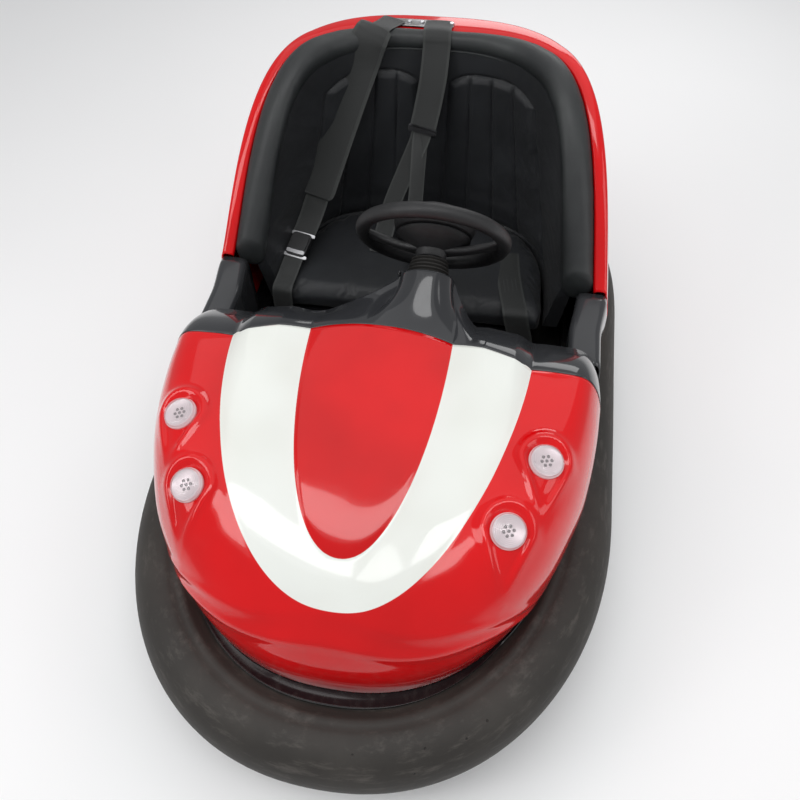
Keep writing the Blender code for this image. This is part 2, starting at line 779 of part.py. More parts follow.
def seat_cushion():
    """One bench cushion on the seat base, its rear corners rounded to follow the backrest."""
    low = SEAT_BASE_Z + GAP
    back = back_foot(np.linspace(0, math.pi / 2, 60))
    front_y = SEAT_FRONT_Y - 0.020
    rear_y = BACK_FRONT_Y + BACK_DEPTH - 0.010
    sections = []
    for t, pinch in ((0, 0.018), (0.03, 0.004), (0.12, 0), (0.45, 0), (0.7, 0), (0.86, 0), (0.95, 0), (1.0, 0.006)):
        y = front_y + (rear_y - front_y) * t
        half = float(np.interp(y, back[:, 1], back[:, 0])) if y > BACK_FRONT_Y else BACK_HALF
        half = min(half, BACK_HALF) - CUSHION_PLAY - pinch
        sections.append(cushion_section(-half, half, y, low, low + CUSHION_T - pinch, 0.018))
    loft_open("seat_cushion", sections, "black_vinyl")


def back_edges(turn):
    """The backrest's top inner, top outer, low inner and low outer edges."""
    rim = rear_rim(turn)
    into = inward_of(rim)
    width = rim_width(turn)[:, None]
    top = (rim[:, 2] - ROLL_DROP - COAMING_R - ROLL_PLAY)[:, None]
    low = np.full((len(turn), 1), BACK_LOW_Z)
    inner = np.hstack([rim[:, :2] + into * (width + 2 * COAMING_R - 0.006), top])
    outer = np.hstack([rim[:, :2] + into * (width - 0.008), top])
    return inner, outer, np.hstack([back_foot(turn), low]), np.hstack([back_foot(turn, BACK_T), low])


def backrest():
    """The padded wall that wraps round the seat, from the seat base up to the padded roll."""
    inner, outer, low_in, low_out = back_edges(np.linspace(0.12, math.pi - 0.12, 33))
    loft_open("backrest", [np.array(edges) for edges in zip(outer, inner, low_in, low_out)], "black_vinyl")


def roll_line(turn):
    """The middle of the padded roll, inside the rim of the tail."""
    rim = rear_rim(turn)
    middle = rim[:, :2] + inward_of(rim) * (rim_width(turn) + COAMING_R + GAP * 2)[:, None]
    return np.hstack([middle, rim[:, 2:] - ROLL_DROP])


def coaming_roll():
    """The padded roll along the backrest's top."""
    turn = np.linspace(0, math.pi, 41)
    sections = []
    for centre, inward in zip(roll_line(turn), inward_of(rear_rim(turn))):
        points = []
        for angle in np.linspace(0, 2 * math.pi, 12, endpoint=False):
            points.append((*(centre[:2] - inward * COAMING_R * math.cos(angle)),
                           centre[2] + COAMING_R * math.sin(angle)))
        sections.append(np.array(points))
    loft_open("coaming_roll", sections, "black_vinyl")


def pedal():
    """The accelerator: a plate on a bracket that stands on the floor pan."""
    x, y = PEDAL_PLACE
    low = PAN_TOP + GAP + MAT_T + GAP
    box("pedal_bracket", (x - 0.030, y - 0.012, low), (x + 0.030, y, low + 0.040), "frame_paint")
    section = [(x - 0.035, y + 0.0003, low + 0.020), (x + 0.035, y + 0.0003, low + 0.020),
               (x + 0.035, y + 0.0053, low + 0.020), (x - 0.035, y + 0.0053, low + 0.020)]
    top = [(p[0], p[1] - 0.045, p[2] + 0.090) for p in section]
    middle = [(p[0], p[1], p[2] + 0.025) for p in section]
    loft_open("accelerator_pedal", [np.array(section), np.array(middle), np.array(top)], "steel")


# ---------------------------------------------------------------- steering


def steering(parent):
    """The wheel, its dished hub, the pad on the hub and the shaft down the column."""
    axis, first, second = frame_of(COLUMN_AXIS)
    ring = []
    for turn in np.linspace(0, 2 * math.pi, 40, endpoint=False) + 0.037:
        out = math.cos(turn) * first + math.sin(turn) * second
        section = []
        for angle in np.linspace(0, 2 * math.pi, 12, endpoint=False) + 0.11:
            section.append(WHEEL_CENTRE + out * (RIM_R + RIM_TUBE_R * math.cos(angle))
                           + axis * RIM_TUBE_R * math.sin(angle))
        ring.append(np.array(section))
    wheel = loft_ring("steering_wheel", ring, "wheel_plastic", parent)
    hub = turned("steering_hub", WHEEL_CENTRE, axis,
                 [(-DISH, HUB_R), (-DISH + 0.012, HUB_R + 0.006), (-0.006, HUB_R + 0.010), (0.0, HUB_R)],
                 "wheel_plastic", count=27)
    combine(wheel, hub, "UNION")
    for number, degrees in enumerate((0, 90, 180)):
        turn = math.radians(degrees)
        out = math.cos(turn) * first + math.sin(turn) * second
        side = np.cross(axis, out)
        start = WHEEL_CENTRE - axis * (DISH * 0.55) + out * (HUB_R * 0.5)
        end = WHEEL_CENTRE + out * (RIM_R - 0.002)
        sections = []
        for t, half_width, half_depth in ((0, 0.024, 0.011), (0.5, 0.018, 0.009), (1, 0.020, 0.008)):
            place = start + (end - start) * t
            corners = []
            for angle in np.linspace(0, 2 * math.pi, 12, endpoint=False):
                corners.append(place + side * half_width * math.cos(angle)
                               + axis * half_depth * math.sin(angle))
            sections.append(np.array(corners))
        combine(wheel, loft_open(f"steering_spoke_{number}", sections, "wheel_plastic"), "UNION")
    turned("wheel_pad", WHEEL_CENTRE, axis,
           [(GAP, PAD_R * 0.55), (0.014, PAD_R), (0.030, PAD_R * 0.96), (PAD_H - 0.004, PAD_R * 0.7),
            (PAD_H, PAD_R * 0.35)], "wheel_plastic", parent, count=32)
    turned("steering_shaft", WHEEL_CENTRE, axis,
           [(-DISH - GAP - 0.150, SHAFT_R), (-DISH - GAP, SHAFT_R)], "steel", parent, count=20)


def column():
    """The collar on the pylon, and the ribbed boot between collar and hub."""
    axis = COLUMN_AXIS
    hub_low = -DISH - 0.006
    profile_out = []
    ribs = 4
    for i in range(ribs * 4 + 1):
        t = i / (ribs * 4)
        wave = 0.003 * math.cos(t * ribs * 2 * math.pi)
        profile_out.append((hub_low - t * BOOT_L, BOOT_R * (0.82 + 0.18 * t) + wave))
    inner = SHAFT_R + 0.006
    profile = profile_out + [(hub_low - BOOT_L, inner), (hub_low, inner)]
    turned_ring("column_boot", WHEEL_CENTRE, axis, profile, "mat_rubber", count=28)


def pylon(panel):
    """A flared tube from the cowl to the boot."""
    axis = COLUMN_AXIS
    top = -DISH - 0.006 - BOOT_L - GAP
    inner = SHAFT_R + PIN_CLEARANCE
    sections = []
    centre = WHEEL_CENTRE + axis * top
    foot = np.array([COLUMN_X * 0.8, COWL_REAR_Y - 0.045, 0.615])
    for t, grow in ((0, 1.0), (0.12, 1.0), (0.3, 0.86), (0.6, 1.0), (1.0, 1.7)):
        place = centre * (1 - t) + foot * t
        tilt = axis * (1 - t) + np.array([0, 0, 1.0]) * t
        sections.append(circle(place, tilt, COLLAR_R * grow, 28))
    body = loft_open("pylon_body", sections, "grey_gelcoat")
    combine(panel, body, "UNION")
    bore = turned("pylon_bore", WHEEL_CENTRE, axis, [(top - 0.16, inner), (top + 0.02, inner)], "steel", count=20)
    combine(panel, bore, "DIFFERENCE")


# ---------------------------------------------------------------- drive unit and wheels


def drive_unit(parent):
    """The fork that turns on the kingpin, with its axle and motor."""
    leg_low = DRIVE_WHEEL_R - 0.03
    half = FORK_W / 2
    reach = FORK_X + FORK_T
    fork = box("drive_fork", (-reach, DRIVE_Y - half, FORK_TOP_Z - FORK_T), (reach, DRIVE_Y + half, FORK_TOP_Z),
               "frame_paint", parent)
    for number, side in enumerate((1, -1)):
        inner, outer = sorted((side * FORK_X, side * (reach - 0.0001)))
        leg = box(f"fork_leg_{number}", (inner, DRIVE_Y - half + 0.0001, leg_low),
                  (outer, DRIVE_Y + half - 0.0001, FORK_TOP_Z - 0.001), "frame_paint")
        combine(fork, leg, "UNION")
    pin = turned("kingpin", (0, DRIVE_Y, FORK_TOP_Z - 0.004), (0, 0, 1),
                 [(0, KINGPIN_R), (0.050, KINGPIN_R)], "steel", count=24)
    combine(fork, pin, "UNION")
    axle = turned("drive_axle", (-reach - 0.012, DRIVE_Y, DRIVE_WHEEL_R), (1, 0, 0),
                  [(0, AXLE_R), (2 * reach + 0.024, AXLE_R)], "steel", count=24)
    combine(fork, axle, "UNION")
    turned("drive_motor", (reach + GAP, DRIVE_Y, MOTOR_Z), (1, 0, 0),
           [(0, MOTOR_R * 0.7), (0.008, MOTOR_R), (MOTOR_L - 0.008, MOTOR_R), (MOTOR_L, MOTOR_R * 0.75)],
           "steel", parent, count=28)


def wheel(word, centre, radius, width, rim_r, slot, parent):
    """A solid tyre on a rim that turns on its axle."""
    half = width / 2
    tread = [(-half, radius - 0.008), (-half + 0.006, radius), (half - 0.006, radius), (half, radius - 0.008)]
    turned_ring(f"{word}_tyre", centre, (1, 0, 0),
                tread + [(half, rim_r + GAP), (-half, rim_r + GAP)], "tyre_rubber", parent, count=48)
    bore = AXLE_R + PIN_CLEARANCE
    rim = [(-half, rim_r), (half, rim_r), (half, rim_r - 0.008), (0.008, rim_r - 0.012), (0.008, 0.026),
           (half + 0.002, 0.024), (half + 0.002, bore), (-half - 0.002, bore), (-half - 0.002, 0.024),
           (-0.008, 0.026), (-0.008, rim_r - 0.012), (-half, rim_r - 0.008)]
    turned_ring(f"{word}_rim", centre, (1, 0, 0), rim, slot, parent, count=40)


def drive_bridge():
    """A steel strap over the drive unit, with the hole that the kingpin turns in."""
    half = BRIDGE_W / 2
    low = PAN_TOP + GAP
    bridge = box("drive_bridge", (-BRIDGE_X, DRIVE_Y - half, BRIDGE_Z - BRIDGE_T),
                 (BRIDGE_X, DRIVE_Y + half, BRIDGE_Z), "frame_paint")
    for number, side in enumerate((1, -1)):
        x0, x1 = sorted((side * (BRIDGE_X - 0.0001), side * (BRIDGE_X - BRIDGE_T)))
        post = box(f"bridge_post_{number}", (x0, DRIVE_Y - half + 0.0001, low),
                   (x1, DRIVE_Y + half - 0.0001, BRIDGE_Z - 0.001), "frame_paint")
        combine(bridge, post, "UNION")
        x0, x1 = sorted((side * (BRIDGE_X - 0.0002), side * (BRIDGE_X + 0.030)))
        foot = box(f"bridge_foot_{number}", (x0, DRIVE_Y - half + 0.0002, low),
                   (x1, DRIVE_Y + half - 0.0002, low + BRIDGE_T), "frame_paint")
        combine(bridge, foot, "UNION")
    hole = turned("bridge_hole", (0, DRIVE_Y, BRIDGE_Z - 0.03), (0, 0, 1),
                  [(0, KINGPIN_R + PIN_CLEARANCE), (0.06, KINGPIN_R + PIN_CLEARANCE)], "steel", count=24)
    combine(bridge, hole, "DIFFERENCE")


def rear_axle():
    """A bar through both rear wheels, hung from the frame by two plates."""
    reach = REAR_X + REAR_WHEEL_W / 2 + 0.012
    bar = turned("rear_axle", (-reach, REAR_Y, REAR_WHEEL_R), (1, 0, 0),
                 [(0, AXLE_R), (2 * reach, AXLE_R)], "steel", count=24)
    top = FLOOR_Z - FRAME_TUBE - GAP
    for number, side in enumerate((1, -1)):
        x0, x1 = side * FRAME_X - HANGER_T / 2, side * FRAME_X + HANGER_T / 2
        plate = box(f"axle_hanger_{number}", (x0, REAR_Y - 0.040, REAR_WHEEL_R - 0.022),
                    (x1, REAR_Y + 0.040, top), "frame_paint")
        combine(bar, plate, "UNION")


def belt_run(route):
    """The smoothed points of a belt's route, with its width direction and its face direction at each."""
    route = np.asarray(route, float)
    knots = np.arange(len(route))
    fine = np.linspace(0, len(route) - 1, 4 * (len(route) - 1) + 1)
    path = np.stack([np.interp(fine, knots, route[:, i]) for i in range(3)], axis=1)
    for _ in range(2):
        path[1:-1] = (path[:-2] + 2 * path[1:-1] + path[2:]) / 4
    along = np.gradient(path, axis=0)
    along = along / np.linalg.norm(along, axis=1, keepdims=True)
    across = np.array([1.0, 0.0, 0.0]) - along * along[:, :1]
    across = across / np.linalg.norm(across, axis=1, keepdims=True)
    return path, across, np.cross(along, across)


def band(name, run, width, thickness, slot="webbing"):
    """A flat band along a belt run."""
    path, across, up = run
    w, t = across * width / 2, up * thickness / 2
    sections = [np.array(corners) for corners in zip(path + w + t, path - w + t, path - w - t, path + w - t)]
    return loft_open(name, sections, slot)


def next_in_line(route, start, length):
    """Two points further along a route's last leg, at start and at start + length from its end."""
    end = np.asarray(route[-1], float)
    leg = end - np.asarray(route[-2], float)
    leg = leg / np.linalg.norm(leg)
    return [end + leg * start, end + leg * (start + length)]


def over_roll(start_x, end_x):
    """Points of a belt over the padded roll, from its top to its front."""
    line = roll_line(np.linspace(0.3, math.pi - 0.3, 200))[::-1]
    radius = COAMING_R + BELT_T / 2 + BELT_PLAY
    points = []
    for part, angle in zip(np.linspace(0, 1, 4), np.radians((80, 110, 140, 170))):
        x = start_x + (end_x - start_x) * part
        y, z = (np.interp(x, line[:, 0], line[:, axis]) for axis in (1, 2))
        points.append((x, y + radius * math.cos(angle), z + radius * math.sin(angle)))
    return points


def harness():
    """Plain bands where the belts lie, with their anchor, pad, slider and buckle."""
    rim_y = BODY_REAR_Y - REAR_LEAN
    top = REAR_TOP_Z + RIM_LIFT + GAP
    box("belt_anchor", (-0.125, rim_y - 0.060, top), (0.040, rim_y - 0.024, top + ANCHOR_T), "steel")
    lie = top + ANCHOR_T + GAP + BELT_T / 2
    seat = SEAT_BASE_Z + GAP + CUSHION_T + BELT_T / 2 + 0.0006
    front = SEAT_FRONT_Y - 0.020 - BELT_T / 2 - 0.003

    down = [(-0.150, 0.583, 0.840), (-0.180, 0.560, 0.780), (-0.215, 0.520, 0.700), (-0.268, 0.455, 0.590),
            (-0.306, 0.378, 0.505), (-0.320, 0.318, 0.482)]
    over = [(-0.100, rim_y - 0.030, lie), (-0.103, rim_y - 0.062, lie + 0.002)] + over_roll(-0.105, -0.120)
    shoulder = belt_run(over + down)
    band("belt_shoulder_right", shoulder, BELT_W, BELT_T)
    path, across, up = (values[4 * len(over):4 * len(over) + 13] for values in shoulder)
    lift = BELT_T / 2 + GAP + BELT_PAD_T / 2
    band("belt_pad", (path + up * lift, across, up), BELT_PAD_W, BELT_PAD_T)
    buckle = next_in_line(down, 2 * GAP, 0.058)
    band("belt_buckle", belt_run(buckle), 0.044, 0.020, "chrome")
    lap = next_in_line(buckle, 2 * GAP, 0.030) + [(-0.342, 0.200, seat + 0.004), (-0.344, 0.168, seat + 0.003),
                                                  (-0.345, front + 0.003, seat - 0.008), (-0.346, front, seat - 0.034),
                                                  (-0.349, front, 0.340), (-0.352, front - 0.004, 0.270)]
    band("belt_lap_right", belt_run(lap), BELT_W, BELT_T)

    middle = [(0.004, rim_y - 0.030, lie), (0.005, rim_y - 0.062, lie + 0.002)] + over_roll(0.006, 0.008)
    middle = middle + [(0.004, 0.570, 0.820), (-0.008, 0.545, 0.750), (-0.016, 0.528, 0.712)]
    band("belt_shoulder_middle", belt_run(middle), BELT_W, BELT_T)
    slider = next_in_line(middle, 2 * GAP, 0.021)
    band("belt_slider", belt_run(slider), 0.058, 0.007, "steel")
    start = next_in_line(slider, 2 * GAP, 0.014)
    tails = band("belt_tails", belt_run(start + [(-0.052, 0.475, 0.617), (-0.086, 0.425, 0.540),
                                                 (-0.104, 0.372, 0.465), (-0.112, 0.330, seat + 0.002)]), BELT_W, BELT_T)
    start = next_in_line(slider, 0.004, 0.012)
    other = band("belt_tail_second", belt_run(start + [(-0.021, 0.470, 0.630), (-0.020, 0.420, 0.560),
                                                       (-0.024, 0.370, 0.480), (-0.030, 0.320, seat + 0.002)]),
                 BELT_W * 0.8, BELT_T * 0.9)
    combine(tails, other, "UNION")

    left = [(0.243, 0.380, seat), (0.252, 0.300, seat), (0.268, 0.225, seat + 0.001), (0.281, 0.170, seat + 0.002),
            (0.285, front + 0.003, seat - 0.008), (0.290, front, seat - 0.032), (0.304, front, 0.350),
            (0.312, front - 0.004, 0.290)]
    band("belt_lap_left", belt_run(left), BELT_W, BELT_T)


def main():
    clear_scene()
    bumper()
    bumper_rail()
    deck_ledge()
    chassis_frame()
    floor_pan()
    floor_mat()
    front_shell()
    lamps()
    pylon(cowl())
    sill(1, "left")
    sill(-1, "right")
    rear_shell()
    seat_base()
    battery()
    seat_cushion()
    backrest()
    coaming_roll()
    harness()
    pedal()
    column()
    steering(empty_at("steering_axis", tuple(WHEEL_CENTRE)))
    drive_axis = empty_at("drive_unit_axis", (0, DRIVE_Y, 0))
    drive_unit(drive_axis)
    wheel_axis = empty_at("drive_wheel_axis", (0, DRIVE_Y, DRIVE_WHEEL_R))
    wheel("drive", (0, DRIVE_Y, DRIVE_WHEEL_R), DRIVE_WHEEL_R, DRIVE_WHEEL_W, DRIVE_RIM_R, "steel", wheel_axis)
    drive_bridge()
    rear_axle()
    for side, word in ((1, "left"), (-1, "right")):
        centre = (side * REAR_X, REAR_Y, REAR_WHEEL_R)
        axis = empty_at(f"rear_wheel_{word}_axis", centre)
        wheel(f"rear_{word}", centre, REAR_WHEEL_R, REAR_WHEEL_W, REAR_RIM_R, "steel", axis)


main()
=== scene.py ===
"""Looks of a two-seat fairground bumper car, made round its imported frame.

Metres, +Z up, the front faces -Y and the driver's left hand is towards +X. Every surface is a
function of two parameters on a grid, or a profile carried along a path, worked out as whole arrays.
"""

import math

import bmesh
import bpy
import numpy as np
from mathutils import Matrix, Vector


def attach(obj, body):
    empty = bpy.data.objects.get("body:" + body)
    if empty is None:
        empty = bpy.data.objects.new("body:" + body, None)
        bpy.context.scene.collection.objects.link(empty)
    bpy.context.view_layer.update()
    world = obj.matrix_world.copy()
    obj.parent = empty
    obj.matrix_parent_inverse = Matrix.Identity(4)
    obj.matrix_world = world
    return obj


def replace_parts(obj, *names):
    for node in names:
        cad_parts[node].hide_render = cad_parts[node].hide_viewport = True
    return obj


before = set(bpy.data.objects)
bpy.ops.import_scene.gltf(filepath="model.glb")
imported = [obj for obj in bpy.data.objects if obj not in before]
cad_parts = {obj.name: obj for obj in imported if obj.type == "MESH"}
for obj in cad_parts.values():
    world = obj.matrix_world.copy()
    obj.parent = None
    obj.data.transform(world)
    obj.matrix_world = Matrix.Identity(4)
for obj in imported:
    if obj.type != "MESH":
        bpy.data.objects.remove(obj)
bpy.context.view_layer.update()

# ---------------------------------------------------------------- sizes shared with the frame

LENGTH, WIDTH = 1.98, 1.15
HALF_W = WIDTH / 2
TUBE_R, TUBE_Z, TUBE_FLAT = 0.085, 0.218, 0.060
TUBE_NOSE, TUBE_NOSE_POWER = 0.697, 2.18
TUBE_TAIL, TUBE_TAIL_POWER = 0.640, 2.6
BODY_HALF = HALF_W - 0.105
BODY_FRONT_Y = -LENGTH / 2 + 0.175
BODY_REAR_Y = LENGTH / 2 - 0.190
BODY_NOSE, BODY_NOSE_POWER = 0.665, 2.3
BODY_TAIL, BODY_TAIL_POWER = 0.560, 2.7
LIP_RISE = 0.0054  # from the rubber up to the shells' lower edge
SIDE_FLARE, SWELL_HEIGHT = 0.034, 0.42
HOOD_REAR_Y, HOOD_CROWN_Y = -0.190, -0.150
HOOD_TOP_Z, HOOD_SHOULDER_Z, HOOD_SHOULDER_X = 0.655, 0.632, 0.320
NOSE_DROP = 0.42
COWL_REAR_Y, COWL_FALL = -0.060, 0.060
SILL_FRONT_Y, SILL_REAR_Y, SILL_TOP_Z, SILL_WIDTH = -0.0562, 0.170, 0.515, 0.080
PAN_TOP = 0.1703
REAR_TOP_Z, RIM_LIFT, REAR_LEAN, TAIL_TUMBLE = 0.905, 0.006, 0.075, 0.085
REAR_RIM, REAR_SHELF, RIM_POWER = 0.034, 0.072, 2.9
TAIL_FRONT_Y = SILL_REAR_Y + 0.0038
SEAT_MIDDLE = np.array([0, 0.2])  # the tail's shelf and padding draw in towards here, in plan
HOOD_FOOT_X = 0.4695  # where the hood's rear edge meets the rubber
SHELL_WALL, PANEL_WALL = 0.0045, 0.004
ROLL_DROP, COAMING_R = 0.010, 0.026
SEAT_BASE_Z, CUSHION_T = 0.345, 0.085
BACK_HALF, BACK_FRONT_Y, BACK_DEPTH, BACK_POWER, BACK_T = 0.360, 0.190, 0.350, 3.2, 0.045
COLUMN_TILT = math.radians(61.0)
COLUMN_AXIS = np.array([0.0, math.sin(COLUMN_TILT), math.cos(COLUMN_TILT)])
COLUMN_RISE = np.array([0, -math.cos(COLUMN_TILT), math.sin(COLUMN_TILT)])  # square to the column, upwards
WHEEL_CENTRE = np.array([0.078, 0.085, 0.722])
RIM_R, RIM_TUBE_R, DISH, HUB_R = 0.162, 0.0172, 0.050, 0.034
BOOT_R, BOOT_L, COLLAR_R, SHAFT_R = 0.046, 0.044, 0.062, 0.011
BOOT_TOP = -DISH - 0.006  # along the column from the wheel's centre
COLLAR_AT, COLLAR_EDGE = BOOT_TOP - BOOT_L - 0.0003, 0.0075
LAMP_PLACES = ((0.377, -0.411), (0.319, -0.558))
PLAY = 0.0006  # between two pieces that touch
UP = np.array([0, 0, 1.0])
SIDES = ((1, "left"), (-1, "right"))

# ---------------------------------------------------------------- shader wiring


class Signal:
    """One output of a shader node. Arithmetic on signals adds Math nodes."""

    def __init__(self, tree, socket):
        self.tree, self.socket = tree, socket

    def node(self, kind, settings=(), feeds=(), out=0):
        """A node of any kind: its settings first, then the values or links of its sockets."""
        made = self.tree.nodes.new("ShaderNode" + kind)
        for key, value in dict(settings).items():
            if key == "stops":
                ramp = made.color_ramp
                while len(ramp.elements) < len(value):
                    ramp.elements.new(0.5)
                for stop, (place, shade) in zip(ramp.elements, value):
                    stop.position = place
                    stop.color = (*shade, 1) if hasattr(shade, "__len__") else (shade, shade, shade, 1)
            else:
                setattr(made, key, value)
        for key, value in dict(feeds).items():
            if isinstance(value, Signal):
                self.tree.links.new(value.socket, made.inputs[key])
            elif hasattr(value, "__len__") and made.inputs[key].type == "RGBA":
                made.inputs[key].default_value = (*value, 1)
            else:
                made.inputs[key].default_value = value
        return Signal(self.tree, made.outputs[out])

    def sums(self, operation, first, second=0.0):
        return self.node("Math", {"operation": operation}, {0: first, 1: second})

    def __add__(self, other):
        return self.sums("ADD", self, other)

    __radd__ = __add__

    def __sub__(self, other):
        return self.sums("SUBTRACT", self, other)

    def __rsub__(self, other):
        return self.sums("SUBTRACT", other, self)

    def __mul__(self, other):
        return self.sums("MULTIPLY", self, other)

    __rmul__ = __mul__

    def wave(self, pitch):
        """A sine from 0 to 1 that repeats every pitch."""
        return self.sums("SINE", self * (2 * math.pi / pitch)) * 0.5 + 0.5

    def step(self, low, high):
        """Rises smoothly from 0 at low to 1 at high."""
        limits = {0: self, 1: low, 2: high, 3: 0.0, 4: 1.0}
        return self.node("MapRange", {"interpolation_type": "SMOOTHSTEP"}, limits)

    def blend(self, first, second):
        """A colour that goes from first to second as this signal goes from 0 to 1."""
        return self.node("Mix", {"data_type": "RGBA"}, {0: self, 6: first, 7: second}, out=2)

    def noise(self, scale, detail=2.0, rough=0.5, stretch=None):
        """Noise from 0 to 1 over a place, with scale in cells to the metre."""
        place = self if stretch is None else self.node("Mapping", (), {0: self, 3: stretch})
        feeds = {"Vector": place, "Scale": scale, "Detail": detail, "Roughness": rough}
        return self.node("TexNoise", (), feeds)

    def cells(self, scale, feature="F1"):
        """Distance in Voronoi cells over a place."""
        return self.node("TexVoronoi", {"feature": feature}, {"Vector": self, "Scale": scale})

    def part(self, axis):
        return self.node("SeparateXYZ", (), {0: self}, out="XYZ".index(axis))

    def relief(self, distance, strength=1.0, under=None):
        """A normal from this height, in units of distance."""
        feeds = {"Height": self, "Distance": distance, "Strength": strength}
        if under is not None:
            feeds["Normal"] = under
        return self.node("Bump", (), feeds)


def finish(name, constants, look, *shades, **more):
    """A material: constants go on the shader's own sockets, and look(place, ...) returns what varies."""
    made = bpy.data.materials.new(name)
    made.use_nodes = True
    tree = made.node_tree
    shader = tree.nodes["Principled BSDF"]
    place = Signal(tree, tree.nodes.new("ShaderNodeTexCoord").outputs["Object"])
    for key, value in {**constants, **look(place, *shades, **more)}.items():
        if isinstance(value, Signal):
            tree.links.new(value.socket, shader.inputs[key])
        else:
            shader.inputs[key].default_value = (*value, 1) if hasattr(value, "__len__") else value
    return made


def attribute(place, name):
    return place.node("Attribute", {"attribute_name": name, "attribute_type": "GEOMETRY"}, (), out=2)


# ---------------------------------------------------------------- finishes

RED, RED_DEEP = (0.68, 0.003, 0.005), (0.52, 0.002, 0.003)
WHITE, WHITE_WARM = (0.78, 0.80, 0.76), (0.70, 0.71, 0.66)
GREY, GREY_DEEP = (0.036, 0.037, 0.040), (0.024, 0.025, 0.028)
DUST, RUST, CHIPPED = (0.20, 0.17, 0.15), (0.16, 0.06, 0.025), (0.22, 0.21, 0.20)
COATED = {"Coat Weight": 0.45, "Coat Roughness": 0.04, "Specular IOR Level": 0.25}
TWILL_PITCH, THREAD_PITCH, STITCH_PITCH = 0.0016, 0.0022, 0.0042


def gloss(place, base, deep, low_z=0.36, dirt=0.16):
    """Sprayed gelcoat: slow colour drift, orange peel, hairline scratches, and dust towards the floor."""
    drift = place.noise(3.0, 3.0)
    colour = drift.step(0.3, 0.75).blend(base, deep)
    fine = place.noise(42.0, 4.0, 0.6)
    grime = (fine.step(0.45, 0.8) * (1 - place.part("Z").step(low_z - 0.06, low_z + 0.10))) * dirt
    colour = grime.blend(colour, DUST)
    scratches = place.noise(9.0, 6.0, 0.75, stretch=(22.0, 2.0, 9.0)).step(0.62, 0.72)
    specks = 1 - place.cells(150.0).step(0.03, 0.09)
    chance = place.noise(14.0, 1.0).step(0.55, 0.7)
    rough = 0.10 + fine.step(0.4, 0.9) * 0.10 + scratches * 0.10 + grime * 0.6
    peel = place.noise(160.0, 1.0)
    height = peel * 0.16 - scratches * 0.10 - specks * chance * 0.3
    return {"Base Color": colour, "Roughness": rough, "Normal": height.relief(0.0006, 0.35)}


def hood_paint(place):
    white = attribute(place, "stripe").step(-0.0007, 0.0007)
    paint = gloss(place, RED, RED_DEEP)
    drift = place.noise(4.0, 2.0).step(0.3, 0.8)
    paint["Base Color"] = white.blend(paint["Base Color"], drift.blend(WHITE, WHITE_WARM))
    return paint


def rubber(place, colour, pale, marks=1.0):
    """Worn solid rubber: blotches, long scuffs, pale dust, pores and small nicks."""
    blotch = place.noise(5.0, 5.0, 0.62)
    scuff = place.noise(12.0, 7.0, 0.72, stretch=(1.0, 1.0, 7.0)).step(0.50, 0.72)
    pores = place.cells(420.0).step(0.05, 0.45)
    nick = 1 - place.cells(23.0).step(0.035, 0.075)
    where = place.noise(6.0, 1.0).step(0.50, 0.62)
    colour = (blotch.step(0.35, 0.75) * 0.75).blend(colour, pale)
    colour = (scuff * 0.55 * marks).blend(colour, tuple(c * 1.9 for c in pale))
    colour = (nick * where * marks).blend(colour, tuple(c * 0.35 for c in pale))
    rough = 0.52 + blotch * 0.22 - scuff * 0.06
    height = pores * 0.10 + blotch * 0.55 + place.noise(60.0, 5.0, 0.7) * 0.35 - nick * where * marks * 1.6
    return {"Base Color": colour, "Roughness": rough, "Normal": height.relief(0.0012, 0.8)}


def vinyl(place, colour, pale, pitch=1.0):
    """Embossed vinyl: leather grain, soft creases, and a polish where it is rubbed."""
    grain = place.cells(620.0 * pitch, "DISTANCE_TO_EDGE").step(0.0, 0.16)
    wide = place.noise(7.0, 4.0, 0.6)
    crease = place.noise(26.0, 5.0, 0.65, stretch=(1.0, 1.0, 0.4))
    tone = (wide.step(0.35, 0.75) * 0.8).blend(colour, pale)
    rough = 0.40 + wide * 0.16 - grain * 0.07
    height = grain * 0.32 + crease * 0.8 + place.noise(210.0, 2.0) * 0.12
    return {"Base Color": tone, "Roughness": rough, "Normal": height.relief(0.0009, 0.7)}


def weave(place, colour, pale):
    """Seat belt webbing: twill ribs along the belt, small cross threads, lint and a bound edge."""
    uv = place.node("TexCoord", out="UV")
    u, v = uv.part("X"), uv.part("Y")
    twill = (u + v * 0.55).wave(TWILL_PITCH)
    threads = v.wave(THREAD_PITCH)
    edge = attribute(place, "edge")
    lint = place.noise(330.0, 3.0, 0.7)
    height = twill * 0.6 + threads * 0.4 + lint * 0.25
    tone = (height.step(0.5, 1.1) * 0.8).blend(colour, pale)
    tone = (edge.step(0.80, 0.86) * 0.5).blend(tone, tuple(c * 1.3 for c in pale))
    return {"Base Color": tone, "Roughness": 0.62 - height * 0.10, "Normal": height.relief(0.0006, 0.8)}


def metal(place, colour, dull, rust=0.0):
    """Bare or plated steel: fine lines, stains and a little rust in blotches."""
    lines = place.noise(60.0, 3.0, 0.6, stretch=(1.0, 1.0, 14.0))
    stain = place.noise(18.0, 5.0, 0.65)
    colour = stain.step(0.4, 0.75).blend(colour, dull)
    patch = place.noise(34.0, 6.0, 0.7).step(0.60, 0.72) * rust
    colour = patch.blend(colour, RUST)
    rough = 0.20 + lines * 0.14 + stain * 0.12 + patch * 0.35
    height = lines * 0.3 + patch * 0.8
    return {"Base Color": colour, "Roughness": rough, "Metallic": 1 - patch * 0.8,
            "Normal": height.relief(0.0004, 0.6)}


